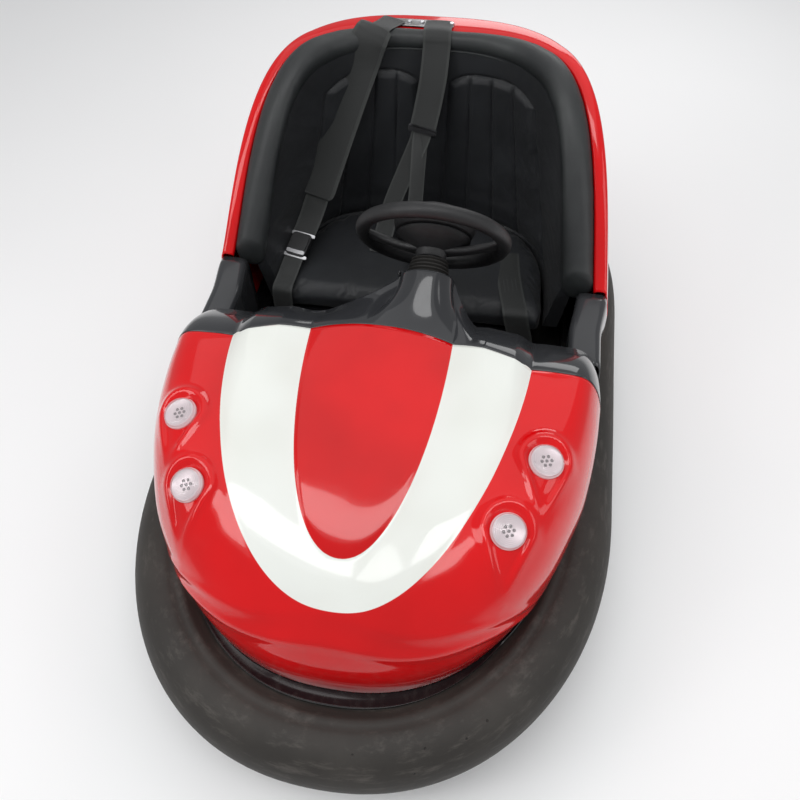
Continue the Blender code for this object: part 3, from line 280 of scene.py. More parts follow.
def painted(place, colour, dust):
    """Brushed-on chassis paint: brush drag, runs, chips to grey, and road dust."""
    drag = place.noise(30.0, 4.0, 0.6, stretch=(1.0, 1.0, 5.0))
    dusty = place.noise(9.0, 5.0, 0.65).step(0.42, 0.75)
    chips = place.noise(70.0, 3.0, 0.7).step(0.70, 0.74)
    tone = chips.blend((dusty * 0.55).blend(colour, dust), CHIPPED)
    rough = 0.38 + dusty * 0.35 + drag * 0.08
    height = drag * 0.4 - chips * 0.5 + place.noise(240.0, 2.0) * 0.2
    return {"Base Color": tone, "Roughness": rough, "Normal": height.relief(0.0006, 0.6)}


def moulded(place, colour, pale, scale=900.0):
    """Moulded plastic: a fine spark-eroded grain, worn smooth in patches."""
    grain = place.cells(scale).step(0.0, 0.7)
    worn = place.noise(11.0, 4.0, 0.6).step(0.42, 0.72)
    tone = (worn * 0.7).blend(colour, pale)
    rough = 0.46 - worn * 0.10 + grain * 0.05
    return {"Base Color": tone, "Roughness": rough, "Normal": (grain * 0.5).relief(0.0005, 0.6)}


def speckled(place, first, second, scale, rough, spread, rough_scale):
    """Two close colours in blotches, and a roughness that varies by spread."""
    return {"Base Color": place.noise(scale).blend(first, second),
            "Roughness": rough + place.noise(rough_scale) * spread}


def ribbed_mat(place):
    """Footwell rubber: ribs 9 mm apart along the car, with dust between them."""
    ribs = place.part("X").wave(0.009).step(0.25, 0.75)
    paint = rubber(place, (0.018, 0.018, 0.018), (0.050, 0.047, 0.043), marks=0.3)
    dirt = (1 - ribs) * place.noise(24.0, 4.0).step(0.4, 0.7)
    paint["Base Color"] = (dirt * 0.8).blend(paint["Base Color"], (0.10, 0.088, 0.075))
    paint["Normal"] = ribs.relief(0.0022, 0.9, under=paint["Normal"])
    return paint


def lens_glass(place):
    smudge = place.noise(90.0, 3.0).step(0.4, 0.8)
    rings = attribute(place, "ring").wave(0.0034)
    flange = attribute(place, "ring").step(0.0295, 0.0335)
    return {"Roughness": 0.04 + smudge * 0.08, "Alpha": 0.16 + rings * 0.14 + flange * 0.34,
            "Normal": (rings * 0.6).relief(0.0004, 0.35)}


HOOD = finish("hood_gelcoat", COATED, hood_paint)
TAIL = finish("tail_gelcoat", COATED, gloss, RED, RED_DEEP)
GREY_GEL = finish("grey_gelcoat_panel", COATED, gloss, GREY, GREY_DEEP, dirt=0.25)
BLACK_GEL = finish("black_gelcoat_ledge", COATED, gloss, (0.006, 0.006, 0.007), (0.011, 0.011, 0.012),
                   low_z=0.25, dirt=0.22)
BUMPER = finish("bumper_rubber_worn", {"Specular IOR Level": 0.35}, rubber,
                (0.028, 0.025, 0.022), (0.050, 0.045, 0.040))
TYRE = finish("tyre_rubber_solid", {}, rubber, (0.020, 0.020, 0.020), (0.040, 0.038, 0.036))
BOOT = finish("boot_rubber", {}, rubber, (0.018, 0.017, 0.016), (0.036, 0.033, 0.030), marks=0.4)
MAT = finish("mat_rubber_ribbed", {}, ribbed_mat)
# Black vinyl of the back pad and bench, made darker than its own colour as painted shade of the cockpit well.
SHADED_QUILT = finish("vinyl_quilt_painted_shade", {"Sheen Weight": 0.06}, vinyl, (0.006, 0.007, 0.009), (0.013, 0.015, 0.018))
# The same black vinyl on the roll and welt, made lighter than the seat's copy as a painted highlight on the roll.
LIT_BORDER = finish("vinyl_border_painted_light", {"Coat Weight": 0.08, "Coat Roughness": 0.3}, vinyl,
                (0.014, 0.016, 0.017), (0.030, 0.034, 0.034), pitch=0.8)
WEBBING = finish("belt_webbing", {"Sheen Weight": 0.15}, weave, (0.010, 0.011, 0.011), (0.036, 0.039, 0.037))
FRAME_PAINT = finish("chassis_paint", {"Metallic": 0.1}, painted, (0.020, 0.020, 0.021), (0.085, 0.075, 0.065))
STEEL = finish("plain_steel", {}, metal, (0.40, 0.40, 0.41), (0.24, 0.23, 0.22), rust=0.7)
DARK_STEEL = finish("blackened_steel", {}, metal, (0.055, 0.055, 0.058), (0.03, 0.03, 0.03), rust=0.2)
CHROME = finish("chrome_plate", {}, metal, (0.78, 0.78, 0.80), (0.60, 0.60, 0.62))
PLASTIC = finish("moulded_black", {}, moulded, (0.009, 0.009, 0.010), (0.022, 0.022, 0.023))
CASE = finish("battery_case_plastic", {}, moulded, (0.040, 0.041, 0.045), (0.07, 0.07, 0.075), scale=500.0)
LENS = finish("lamp_lens_clear", {"Base Color": (0.93, 0.84, 0.86), "IOR": 1.46, "Coat Weight": 0.8,
                                  "Coat Roughness": 0.03}, lens_glass)
LAMP_BED = finish("lamp_reflector", {"Metallic": 0.35}, speckled,
                  (0.50, 0.42, 0.45), (0.70, 0.62, 0.64), 60.0, 0.22, 0.2, 120.0)
DIODE = finish("lamp_diode", {}, speckled, (0.010, 0.006, 0.008), (0.030, 0.018, 0.022), 300.0, 0.25, 0.1, 200.0)
THREAD = finish("belt_thread", {}, speckled, (0.05, 0.052, 0.055), (0.11, 0.112, 0.115), 700.0, 0.6, 0.2, 500.0)

CAD_FINISH = (
    (FRAME_PAINT, "chassis_frame floor_pan bumper_rail pedal_bracket drive_bridge drive_fork"),
    (STEEL, "accelerator_pedal rear_axle drive_rim rear_left_rim rear_right_rim steering_shaft"),
    (DARK_STEEL, "drive_motor"), (MAT, "floor_mat"), (BLACK_GEL, "seat_base"), (CASE, "battery_block"),
)
for cad_finish, cad_names in CAD_FINISH:
    for cad_name in cad_names.split():
        for cad_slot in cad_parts[cad_name].material_slots:
            cad_slot.material = cad_finish

# ---------------------------------------------------------------- meshes from arrays


def quads(rows, columns, close_rows=False, close_columns=False):
    """Corner numbers of the quads of a rows x columns grid of points, closed either way round."""
    i = np.arange(rows if close_rows else rows - 1)[:, None]
    j = np.arange(columns if close_columns else columns - 1)[None, :]
    right, i, down = (j + 1) % columns, i * columns, (i + 1) % rows * columns
    return np.stack([i + j, i + right, down + right, down + j], axis=-1).reshape(-1, 4)


def piece(name, points, faces, finish_used, slot, body="chassis", uv=None, values=(), sharp=35.0):
    """A mesh piece that rides on a body. faces is an array of quads, or a list of polygons."""
    mesh = bpy.data.meshes.new(name)
    mesh.from_pydata(points.tolist(), [], faces.tolist() if isinstance(faces, np.ndarray) else faces)
    corners = np.empty(len(mesh.loops), np.int32)
    mesh.loops.foreach_get("vertex_index", corners)
    if uv is not None:
        layer = mesh.uv_layers.new(name="UVMap")
        layer.data.foreach_set("uv", np.asarray(uv, np.float32)[corners].ravel())
    for key, array in dict(values).items():
        layer = mesh.attributes.new(key, "FLOAT", "POINT")
        layer.data.foreach_set("value", np.asarray(array, np.float32).ravel())
    work = bmesh.new()
    work.from_mesh(mesh)
    bmesh.ops.remove_doubles(work, verts=work.verts, dist=1e-6)
    bmesh.ops.dissolve_degenerate(work, edges=work.edges, dist=1e-7)
    bmesh.ops.recalc_face_normals(work, faces=work.faces)
    work.to_mesh(mesh)
    work.free()
    mesh.shade_smooth()
    mesh.set_sharp_from_angle(angle=math.radians(sharp))
    mesh.materials.append(finish_used)
    obj = bpy.data.objects.new(name, mesh)
    bpy.context.scene.collection.objects.link(obj)
    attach(obj, body)
    return obj


def wall(obj, thickness, outward):
    """Gives an open sheet a wall on its inside, with its face turned to look along outward(centre)."""
    work = bmesh.new()
    work.from_mesh(obj.data)
    if sum(face.normal.dot(outward(face.calc_center_median())) * face.calc_area() for face in work.faces) < 0:
        bmesh.ops.reverse_faces(work, faces=work.faces)
    work.to_mesh(obj.data)
    work.free()
    made = obj.modifiers.new("wall", "SOLIDIFY")
    made.thickness, made.offset = thickness, -1.0
    return obj


def sheet_piece(name, grid, thickness, outward, finish_used, slot, **more):
    """An open grid of points with a wall."""
    obj = piece(name, grid.reshape(-1, 3), quads(*grid.shape[:2]), finish_used, slot, **more)
    return wall(obj, thickness, outward)


def closed_piece(name, sections, finish_used, slot, body="chassis", ring=False, **more):
    """A solid through closed sections: a ring, or one whose two ends are capped."""
    rows, columns = sections.shape[:2]
    faces = quads(rows, columns, close_rows=ring, close_columns=True).tolist()
    if not ring:
        faces += [list(range(columns)), list(range((rows - 1) * columns, rows * columns))]
    return piece(name, sections.reshape(-1, 3), faces, finish_used, slot, body, **more)


def unit(vectors):
    return vectors / np.maximum(np.linalg.norm(vectors, axis=-1, keepdims=True), 1e-12)


def smooth(value, low, high):
    """0 below low, 1 above high, with a smooth rise between."""
    t = np.clip((value - low) / (high - low), 0, 1)
    return t * t * (3 - 2 * t)


def grid_normals(grid, away=None):
    """Unit normals of a grid of points, from its central differences, turned to look along away."""
    normals = unit(np.cross(np.gradient(grid, axis=0), np.gradient(grid, axis=1)))
    return normals if away is None else turned_to(normals, away)


def turned_to(normals, away):
    return normals * np.where((normals * away).sum(axis=-1, keepdims=True) < 0, -1.0, 1.0)


def full_turn(count):
    return np.linspace(0, 2 * math.pi, count, endpoint=False)


def signed_power(value, power):
    return np.sign(value) * np.abs(value) ** power


def run_length(line):
    """How far along a line each of its points lies."""
    return np.concatenate([[0], np.cumsum(np.linalg.norm(np.diff(line, axis=0), axis=1))])


def along_run(want, far, values):
    """Values of a line's points, read at the distances wanted."""
    return np.stack([np.interp(want, far, values[:, k]) for k in range(values.shape[1])], axis=1)


def resampled(line, count, closed=False):
    """The same line or closed loop with count points evenly spaced along it."""
    line = np.concatenate([line, line[:1]]) if closed else line
    far = run_length(line)
    return along_run(np.linspace(0, far[-1], count, endpoint=not closed), far, line)


def axis_frame(axis):
    axis = unit(np.asarray(axis, float))
    side = np.array([1.0, 0, 0]) if abs(axis[0]) < 0.9 else np.array([0, 1.0, 0])
    first = unit(side - axis * side.dot(axis))
    return axis, first, np.cross(axis, first)


def turned(name, centre, axis, profile, finish_used, slot, body="chassis", count=64, ring=False, **more):
    """A turned solid: each (along, radius) of the profile carried round the axis."""
    axis, first, second = axis_frame(axis)
    profile = np.asarray(profile, float)
    turn = full_turn(count)[:, None]
    out = np.cos(turn) * first + np.sin(turn) * second
    if ring:
        sections = centre + profile[None, :, :1] * axis + profile[None, :, 1:] * out[:, None]
    else:
        sections = centre + profile[:, None, :1] * axis + profile[:, None, 1:] * out[None]
    return closed_piece(name, sections, finish_used, slot, body, ring=ring, **more)


def superellipse(half, length, power, turn):
    return half * np.cos(turn) ** (2 / power), length * np.sin(turn) ** (2 / power)


def half_outline(half, front, rear, count, side_count):
    """The +X half of an outline in plan: two quarter superellipses, each given as (centre y, length, power),
    and the straight side between them."""
    turn = np.linspace(0, math.pi / 2, count)
    x, y = superellipse(half, *front[1:], turn)
    nose = np.stack([x, front[0] - y], axis=1)[::-1]
    x, y = superellipse(half, *rear[1:], turn)
    tail_end = np.stack([x, rear[0] + y], axis=1)
    return np.concatenate([nose, np.linspace(nose[-1], tail_end[0], side_count)[1:-1], tail_end])


def tube_line(inset):
    """The bumper's outline in plan, moved in by inset."""
    right = half_outline(HALF_W - inset, (-LENGTH / 2 + TUBE_NOSE, TUBE_NOSE - inset, TUBE_NOSE_POWER),
                         (LENGTH / 2 - TUBE_TAIL, TUBE_TAIL - inset, TUBE_TAIL_POWER), 150, 40)
    return resampled(np.concatenate([right, right[::-1][1:-1] * [-1, 1]]), 420, closed=True)


def loop_normals(loop):
    along = np.roll(loop, -1, axis=0) - np.roll(loop, 1, axis=0)
    return unit(np.stack([along[:, 1], -along[:, 0]], axis=1))


TUBE_LINE = tube_line(TUBE_R)
TUBE_OUT = loop_normals(TUBE_LINE)


def inside_tube(places):
    """How far places in plan lie from the tube's centre line, as the nearest of its points."""
    flat = places.reshape(-1, 2)
    found = np.concatenate([np.linalg.norm(block[:, None] - TUBE_LINE[None], axis=2).min(axis=1)
                            for block in np.array_split(flat, max(1, len(flat) // 2000))])
    return found.reshape(places.shape[:-1])


def tube_top(inward):
    return TUBE_Z + np.sqrt(TUBE_R**2 - np.minimum(np.abs(inward), TUBE_FLAT) ** 2)


def lip_height(places):
    """The shells' lower edge follows the rubber's top a little above it."""
    return tube_top(inside_tube(places)) + LIP_RISE


# ---------------------------------------------------------------- bumper and ledge


def bumper():
    """Rubber ring: a circle cut flat at the back, its corners eased, swollen a little along its length."""
    half_flat = math.acos(-TUBE_FLAT / TUBE_R)
    turn = np.linspace(-half_flat, half_flat, 56)
    out, up = TUBE_R * np.cos(turn), TUBE_R * np.sin(turn)
    at = np.degrees(turn)
    bead = 0.0035 * np.exp(-((at - 112) / 5) ** 2) - 0.0022 * np.exp(-((at - 101) / 4) ** 2)
    out, up = out + bead * np.cos(turn), up + bead * np.sin(turn)
    inner = np.linspace(0.9, -0.9, 6)
    out = np.concatenate([out, np.full(6, -TUBE_FLAT)])
    up = np.concatenate([up, inner * TUBE_R * math.sin(half_flat)])
    far = full_turn(len(TUBE_LINE))[:, None]
    swell = 1 + 0.006 * np.sin(7 * far + 0.6) * np.sin(3 * far) - 0.008
    squash = np.where(out > -0.05, swell, 1.0)
    places = TUBE_LINE[:, None] + TUBE_OUT[:, None] * (out * squash)[..., None]
    sections = np.concatenate([places, (TUBE_Z + up * squash)[..., None]], axis=2)
    obj = closed_piece("bumper_ring", sections, BUMPER, "bumper_rubber", ring=True)
    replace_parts(obj, "bumper_tube")


def body_inset():
    """Distance from the tube's centre line to the body's outline, along each normal, from its nearest points."""
    right = half_outline(BODY_HALF, (BODY_FRONT_Y + BODY_NOSE, BODY_NOSE, BODY_NOSE_POWER),
                         (BODY_REAR_Y - BODY_TAIL, BODY_TAIL, BODY_TAIL_POWER), 300, 60)
    loop = np.concatenate([right, right * [-1, 1]])
    return np.array([np.linalg.norm(loop - place, axis=1).min() for place in TUBE_LINE])


def ledge():
    """Black ledge: it rides the rubber's top, folds up in a small bead, and dips under the shells."""
    inset = body_inset()
    riser_in = TUBE_FLAT + 0.0063
    edge_out = np.minimum(TUBE_FLAT - 0.002, inset - 0.006)
    edge_in = np.maximum(riser_in + 0.001, inset + 0.026)
    t = np.array([0, 0.0, 0.06, 0.12, 0.2, 0.35, 0.5, 0.7, 0.85, 1.0])
    lift = np.array([0.0, 0.0042, 0.0062, 0.0052, 0.0038, 0.0036, 0.0036, 0.0034, 0.0030, 0.0030])
    reach = edge_out[:, None] + (edge_in - edge_out)[:, None] * t
    top = tube_top(np.minimum(reach, riser_in)) + 0.0011 + lift
    low_reach = reach[:, ::-1]
    low = tube_top(np.minimum(low_reach, riser_in)) + 0.0011
    radial = np.concatenate([reach, low_reach], axis=1)
    places = TUBE_LINE[:, None] - TUBE_OUT[:, None] * radial[..., None]
    sections = np.concatenate([places, np.concatenate([top, low], axis=1)[..., None]], axis=2)
    obj = closed_piece("ledge_ring", sections, BLACK_GEL, "black_gelcoat", ring=True)
    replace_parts(obj, "deck_ledge")


# ---------------------------------------------------------------- hood


def stripe_fields(x, y):
    """Level functions of the raised middle and of the white band: each is 1 on its own edge in plan."""
    t_in = np.clip((-0.150 - y) / 0.482, 0, None)
    t_out = np.clip((-0.150 - y) / 0.574, 0, None)
    inner = t_in**2.1 + (np.abs(x) / 0.158) ** 2.2
    outer = t_out**1.65 + (np.abs(x) / 0.333) ** 2.4
    return inner, outer


def stripe_distance(x, y):
    """Metres inside the white band: each level function over its slope, and the smaller of the two."""
    step = 1e-4
    found = []
    for part, sign in ((0, 1), (1, -1)):
        here = stripe_fields(x, y)[part]
        slope_x = (stripe_fields(x + step, y)[part] - stripe_fields(x - step, y)[part]) / (2 * step)
        slope_y = (stripe_fields(x, y + step)[part] - stripe_fields(x, y - step)[part]) / (2 * step)
        found.append(sign * (here - 1) / np.maximum(np.hypot(slope_x, slope_y), 0.5))
    return np.minimum(*found)


def lamp_relief(x, y):
    """Hollow and rim round each lamp: a drop that runs out forwards, as a ridge on a stretched distance."""
    found = np.zeros_like(x)
    for lamp_x, lamp_y in LAMP_PLACES:
        u, v = np.abs(x) - lamp_x, lamp_y - y
        narrow = 1 - 0.75 * np.clip(v / 0.115, 0, 1)
        far = np.hypot(u / narrow, np.where(v > 0, 0.45 * v, v))
        fade = 1 - 0.85 * smooth(v, 0.0, 0.105)
        found += 0.0068 * np.exp(-(((far - 0.051) / 0.0110) ** 2)) * fade
        found -= 0.0085 * (1 - smooth(far, 0.030, 0.049)) * (1 - smooth(v, 0.045, 0.11))
        found += 0.010 * np.exp(-((far / 0.085) ** 2)) * (1 - smooth(v, 0.02, 0.12))
    return found


def hood_relief(x, y, z):
    """Raised middle, arched white bands, lamp hollows and the crease over the skirt, as a height off the base."""
    inner, outer = stripe_fields(x, y)
    forward = smooth(-y, 0.18, 0.50)
    middle = (0.020 + 0.004 * forward) * np.clip(1 - inner, 0, 1) ** (1.0 - 0.42 * forward)
    between = np.clip(inner - 1, 0, None) / 3.44 * np.clip(1 - outer, 0, None) / 0.775
    bands = 0.017 * np.clip(4 * between, 0, 1.1)
    outside = 0.006 * (1 - np.exp(-5 * np.clip(outer - 1, 0, None)))
    crease_z = 0.434 - 0.11 * smooth(y, -0.74, -0.52)
    front = 1 - smooth(y, -0.60, -0.42)
    skirt = front * (0.0042 * np.exp(-(((z - crease_z) / 0.013) ** 2))
                     + 0.0026 * np.exp(-(((z - crease_z - 0.042) / 0.011) ** 2))
                     - 0.0012 * smooth(crease_z - z, 0.0, 0.040))
    fade = smooth(z, 0.34, 0.44)
    return (middle + bands + outside - 0.006 + lamp_relief(x, y)) * fade + skirt


def hood_spine(x):
    """Height and place along the car of the hood's rear edge, out to its shoulder."""
    part = np.abs(x) / HOOD_SHOULDER_X
    return (HOOD_CROWN_Y + (HOOD_REAR_Y - HOOD_CROWN_Y) * part**2,
            HOOD_TOP_Z + (HOOD_SHOULDER_Z - HOOD_TOP_Z) * part**2.2)


def hood_foot(share):
    """The lower edge in plan: a superellipse, straight over its first fifteenth."""
    x, y = superellipse(BODY_HALF, BODY_NOSE, BODY_NOSE_POWER, np.maximum(share, 1 / 15) * math.pi / 2)
    feet = np.stack([x, BODY_FRONT_Y + BODY_NOSE - y], axis=-1)
    rear = np.array([HOOD_FOOT_X, HOOD_REAR_Y])
    part = np.clip(share * 15, 0, 1)[..., None]
    return rear + (feet - rear) * part


def panel_lines(start, foot, share, s):
    """Lines of the body's surface: straight in plan from start to foot, plus a swell; in height
    lip + (start - lip) (1 - drop s^0.9) (1 - s^square)^k."""
    share, s = share[:, None], s[None, :]
    share = 1 - (np.sqrt((1 - share) ** 2 + 0.0081) - 0.09 * share)
    drop = NOSE_DROP * share**2 + 0.03
    height = (1 - drop * s**0.9) * np.power(np.clip(1 - s ** (12 - 4 * share), 0, 1), 0.36 + 0.06 * share)
    lip = lip_height(foot)[:, None]
    z = lip + (start[:, 2:] - lip) * height
    swell = SIDE_FLARE * (1 - 0.75 * share**2) * s**5 * np.sin(math.pi * np.clip((z - lip) / SWELL_HEIGHT, 0, 1))
    out = unit(np.stack([foot[:, 0], (foot[:, 1] - HOOD_REAR_Y) * 0.6], axis=1))
    x = start[:, :1] + (foot[:, :1] - start[:, :1]) * s + out[:, :1] * swell
    y = start[:, 1:2] + (foot[:, 1:] - start[:, 1:2]) * s + out[:, 1:] * swell
    return np.stack([x, y, z], axis=2)


def even_steps(count):
    """Steps from 0 to 1 that close up towards 1, where the surface turns down."""
    t = np.linspace(0, 1, count)
    return 1 - (1 - t) ** 2.3


def hood_base():
    """The +X half of the hood before its relief: lines from the spine to the foot, from side to nose."""
    share = np.linspace(0, 1, 131)
    x = HOOD_SHOULDER_X * (1 - share)
    start = np.stack([x, *hood_spine(x)], axis=1)
    return panel_lines(start, hood_foot(share), share, even_steps(132))


def with_relief(grid, away):
    """A body surface with the hood's relief on it: upwards on its top, along its normals lower down."""
    normals = grid_normals(grid, away)
    relief = hood_relief(grid[..., 0], grid[..., 1], grid[..., 2])[..., None]
    upright = smooth(grid[..., 2:], 0.44, 0.54)
    return grid + relief * (normals * (1 - upright) + UP * upright)


def hood():
    """Front shell: the base mirrored, with its relief, and the white band as an attribute."""
    half = hood_base()
    grid = np.concatenate([half, half[:-1][::-1] * [-1, 1, 1]])
    grid = with_relief(grid, grid * [1, 1, 0] + [0, -HOOD_CROWN_Y, 0.3])
    stripe = stripe_distance(grid[..., 0], grid[..., 1])
    obj = sheet_piece("hood_panel", grid, SHELL_WALL, lambda c: Vector((c.x, c.y - HOOD_CROWN_Y, 0.3)),
                      HOOD, "red_gelcoat", values={"stripe": stripe}, sharp=60.0)
    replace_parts(obj, "front_shell")


# ---------------------------------------------------------------- cowl, pylon and sills


def relieved(line):
    """A line across the cowl with the hood's relief on it, from the normals of a narrow strip."""
    strip = np.stack([line, line + [0, 0.01, 0]], axis=1)
    return with_relief(strip, strip * [1, 0, 0] + [0, 0, 0.3])[:, 0]


def side_profile(y, s):
    """The body's side at y, from the shoulder down to the lower edge."""
    start = np.array([[HOOD_SHOULDER_X, y, HOOD_SHOULDER_Z]])
    line = panel_lines(start, np.array([[BODY_HALF, y]]), np.zeros(1), s)[0]
    line[:, 1] = y
    return line


def cowl():
    """Sheet from the hood's rear edge to the cockpit, drawn up round the steering column: cubic lines from
    each front point to its rear point, which lies on the collar's upper half where the column comes out."""
    s = even_steps(70)[1:]
    x = np.linspace(-HOOD_SHOULDER_X, HOOD_SHOULDER_X, 221)
    y, z = hood_spine(x)
    share = np.abs(x) / HOOD_SHOULDER_X
    seam = 0.0012
    side = side_profile(HOOD_REAR_Y, s) + [0, seam, 0]
    side_back = side_profile(COWL_REAR_Y, s)
    side_back[:, 2] -= COWL_FALL * np.clip((side_back[:, 2] - side_back[-1, 2]) / 0.2, 0, 1)
    front = np.stack([x, y + seam, z], axis=1)
    back = np.stack([x, COWL_REAR_Y - 0.02 * (1 - share**2), z - COWL_FALL * (0.5 + 0.5 * share**2)], axis=1)
    front = relieved(np.concatenate([side[::-1] * [-1, 1, 1], front, side]))
    back = relieved(np.concatenate([side_back[::-1] * [-1, 1, 1], back, side_back]))

    along = front[:, 0]
    upper = np.zeros(len(along))
    upper[len(s):-len(s)] = 1
    low_x, high_x = -0.035, 0.172  # what of the edge is drawn up to the collar
    pull = smooth(along, low_x - 0.15, low_x) * (1 - smooth(along, high_x, high_x + 0.030)) * upper
    pull = pull[:, None]
    angle = math.pi * (1 - np.clip((along - low_x) / (high_x - low_x), 0, 1))[:, None]
    middle = WHEEL_CENTRE + COLUMN_AXIS * COLLAR_AT
    collar = middle + COLLAR_R * np.cos(angle) * [1, 0, 0] + COLLAR_R * np.sin(angle) * COLUMN_RISE
    far = np.linalg.norm(back - front, axis=1, keepdims=True)
    fall = (back - front) * [0, 0, 1.5] + [0, 1, 0] * np.abs(back - front)[:, 1:2]
    end = back * (1 - pull) + collar * pull
    reach = np.linalg.norm(end - front, axis=1, keepdims=True)
    end_way = fall * (1 - pull) + COLUMN_AXIS * reach * 1.1 * pull
    start_way = far * [0, 1, -0.03] * (1 + 0.1 * pull)
    t = np.linspace(0, 1, 30)[None, :, None]
    grid = ((2 * t**3 - 3 * t**2 + 1) * front[:, None] + (t**3 - 2 * t**2 + t) * start_way[:, None]
            + (3 * t**2 - 2 * t**3) * end[:, None] + (t**3 - t**2) * end_way[:, None])

    outside = np.stack([0.3 * np.sign(along), 0 * along, 1 + 0 * along], axis=1)
    normals = turned_to(grid_normals(grid)[:, -1], np.where(pull > 0.5, end - middle, outside))
    turn = np.linspace(0, math.pi / 2, 7)[1:, None, None]
    edge = end + COLLAR_EDGE * (np.sin(turn) * unit(end_way) - (1 - np.cos(turn)) * normals)
    hem = edge[-1] - np.array([0.004, 0.010])[:, None, None] * normals
    grid = np.concatenate([grid, edge.transpose(1, 0, 2), hem.transpose(1, 0, 2)], axis=1)
    obj = sheet_piece("cowl_panel", grid, PANEL_WALL, lambda c: Vector((c.x, 0, 0.3)), GREY_GEL, "grey_gelcoat",
                      sharp=50.0)
    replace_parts(obj, "cowl")


def pylon():
    """The collar's lower half: half rings along the column, wider down to the boot's foot, with an eased end."""
    turn = np.linspace(math.pi, 2 * math.pi, 40)[:, None]
    ring = np.cos(turn) * [1, 0, 0] + np.sin(turn) * COLUMN_RISE
    steps = [(-0.115, 0.060), (-0.06, COLLAR_R - 0.001), (0, COLLAR_R)]
    steps += [(COLLAR_EDGE * math.sin(a), COLLAR_R - COLLAR_EDGE * (1 - math.cos(a)))
              for a in np.linspace(0.2, math.pi / 2, 6)]
    steps += [(COLLAR_EDGE, COLLAR_R - COLLAR_EDGE - deep) for deep in (0.004, 0.010)]
    grid = np.stack([WHEEL_CENTRE + COLUMN_AXIS * (COLLAR_AT + at) + ring * radius for at, radius in steps], axis=1)
    sheet_piece("pylon_underside", grid, PANEL_WALL, lambda c: Vector((0, 0, -1)), GREY_GEL, "grey_gelcoat",
                sharp=50.0)


def eased(line, passes):
    """A polyline with its corners rounded: each inner point moves to the mean of its neighbours, passes times."""
    for _ in range(passes):
        line = line.copy()
        line[..., 1:-1, :] = (line[..., :-2, :] + 2 * line[..., 1:-1, :] + line[..., 2:, :]) / 4
    return line


def sills():
    """Each side: outer wall, flat top and inner wall down to the pan, its corners rounded."""
    ease = 0.006
    for side, word in SIDES:
        rows = []
        for y in np.linspace(SILL_FRONT_Y - 0.0022, SILL_REAR_Y + 0.0022, 12):
            outer = side_profile(y, even_steps(40))
            outer = outer[outer[:, 2] < SILL_TOP_Z - 0.012][::-1]
            part = (outer[:, 2] - outer[0, 2]) / (SILL_TOP_Z + RIM_LIFT - 0.012 - outer[0, 2])
            tail_edge = BODY_HALF + SIDE_FLARE * (part + 0.8 * np.sin(math.pi * part)) - PLAY
            outer[:, 0] += (tail_edge - outer[:, 0]) * smooth(y, SILL_REAR_Y - 0.13, SILL_REAR_Y)
            edge = outer[-1, 0]
            inner = edge - SILL_WIDTH
            top = np.array([[edge - ease, y, SILL_TOP_Z], [inner + ease, y, SILL_TOP_Z],
                            [inner, y, SILL_TOP_Z - ease], [inner, y, PAN_TOP + 0.001]])
            rows.append(eased(resampled(np.concatenate([outer, top]), 130), 10) * [side, 1, 1])
        obj = sheet_piece(f"sill_panel_{word}", np.array(rows), PANEL_WALL,
                          lambda c, s=side: Vector((c.x - s * 0.446, 0, c.z - 0.4)), GREY_GEL, "grey_gelcoat",
                          sharp=50.0)
        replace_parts(obj, f"sill_{word}")


# ---------------------------------------------------------------- tail


def rear_rim(turn):
    """The tail's top edge: a superellipse that rises from the sills and draws in as it rises."""
    depth = BODY_REAR_Y - REAR_LEAN - TAIL_FRONT_Y
    x = (BODY_HALF + SIDE_FLARE) * signed_power(np.cos(turn), 2 / RIM_POWER)
    y = TAIL_FRONT_Y + depth * np.sin(turn) ** (2 / RIM_POWER)
    rise = np.clip((y - TAIL_FRONT_Y) / (depth * 0.80), 0, 1)
    z = SILL_TOP_Z + (REAR_TOP_Z - SILL_TOP_Z) * np.sin(rise * math.pi / 2) ** 1.1
    return np.stack([x * (1 - TAIL_TUMBLE / BODY_HALF * rise), y, z], axis=-1)


def even_turns(count, trim=0.0):
    """Values of turn that step evenly along the tail's top edge, left off by trim at both ends."""
    turn = np.linspace(trim, math.pi - trim, 4000)
    far = run_length(rear_rim(turn))
    return np.interp(np.linspace(0, far[-1], count), far, turn)


def inward(points):
    """Level directions from points to the middle of the seat."""
    level = unit(SEAT_MIDDLE - points[:, :2])
    return np.hstack([level, np.zeros((len(level), 1))])


def rim_width(turn):
    return REAR_RIM + (REAR_SHELF - REAR_RIM) * np.sin(turn) ** 4


def back_foot(turn):
    """The foot of the padded back in plan: a superellipse."""
    return np.stack([BACK_HALF * signed_power(np.cos(turn), 2 / BACK_POWER),
                     BACK_FRONT_Y + BACK_DEPTH * np.sin(turn) ** (2 / BACK_POWER)], axis=-1)


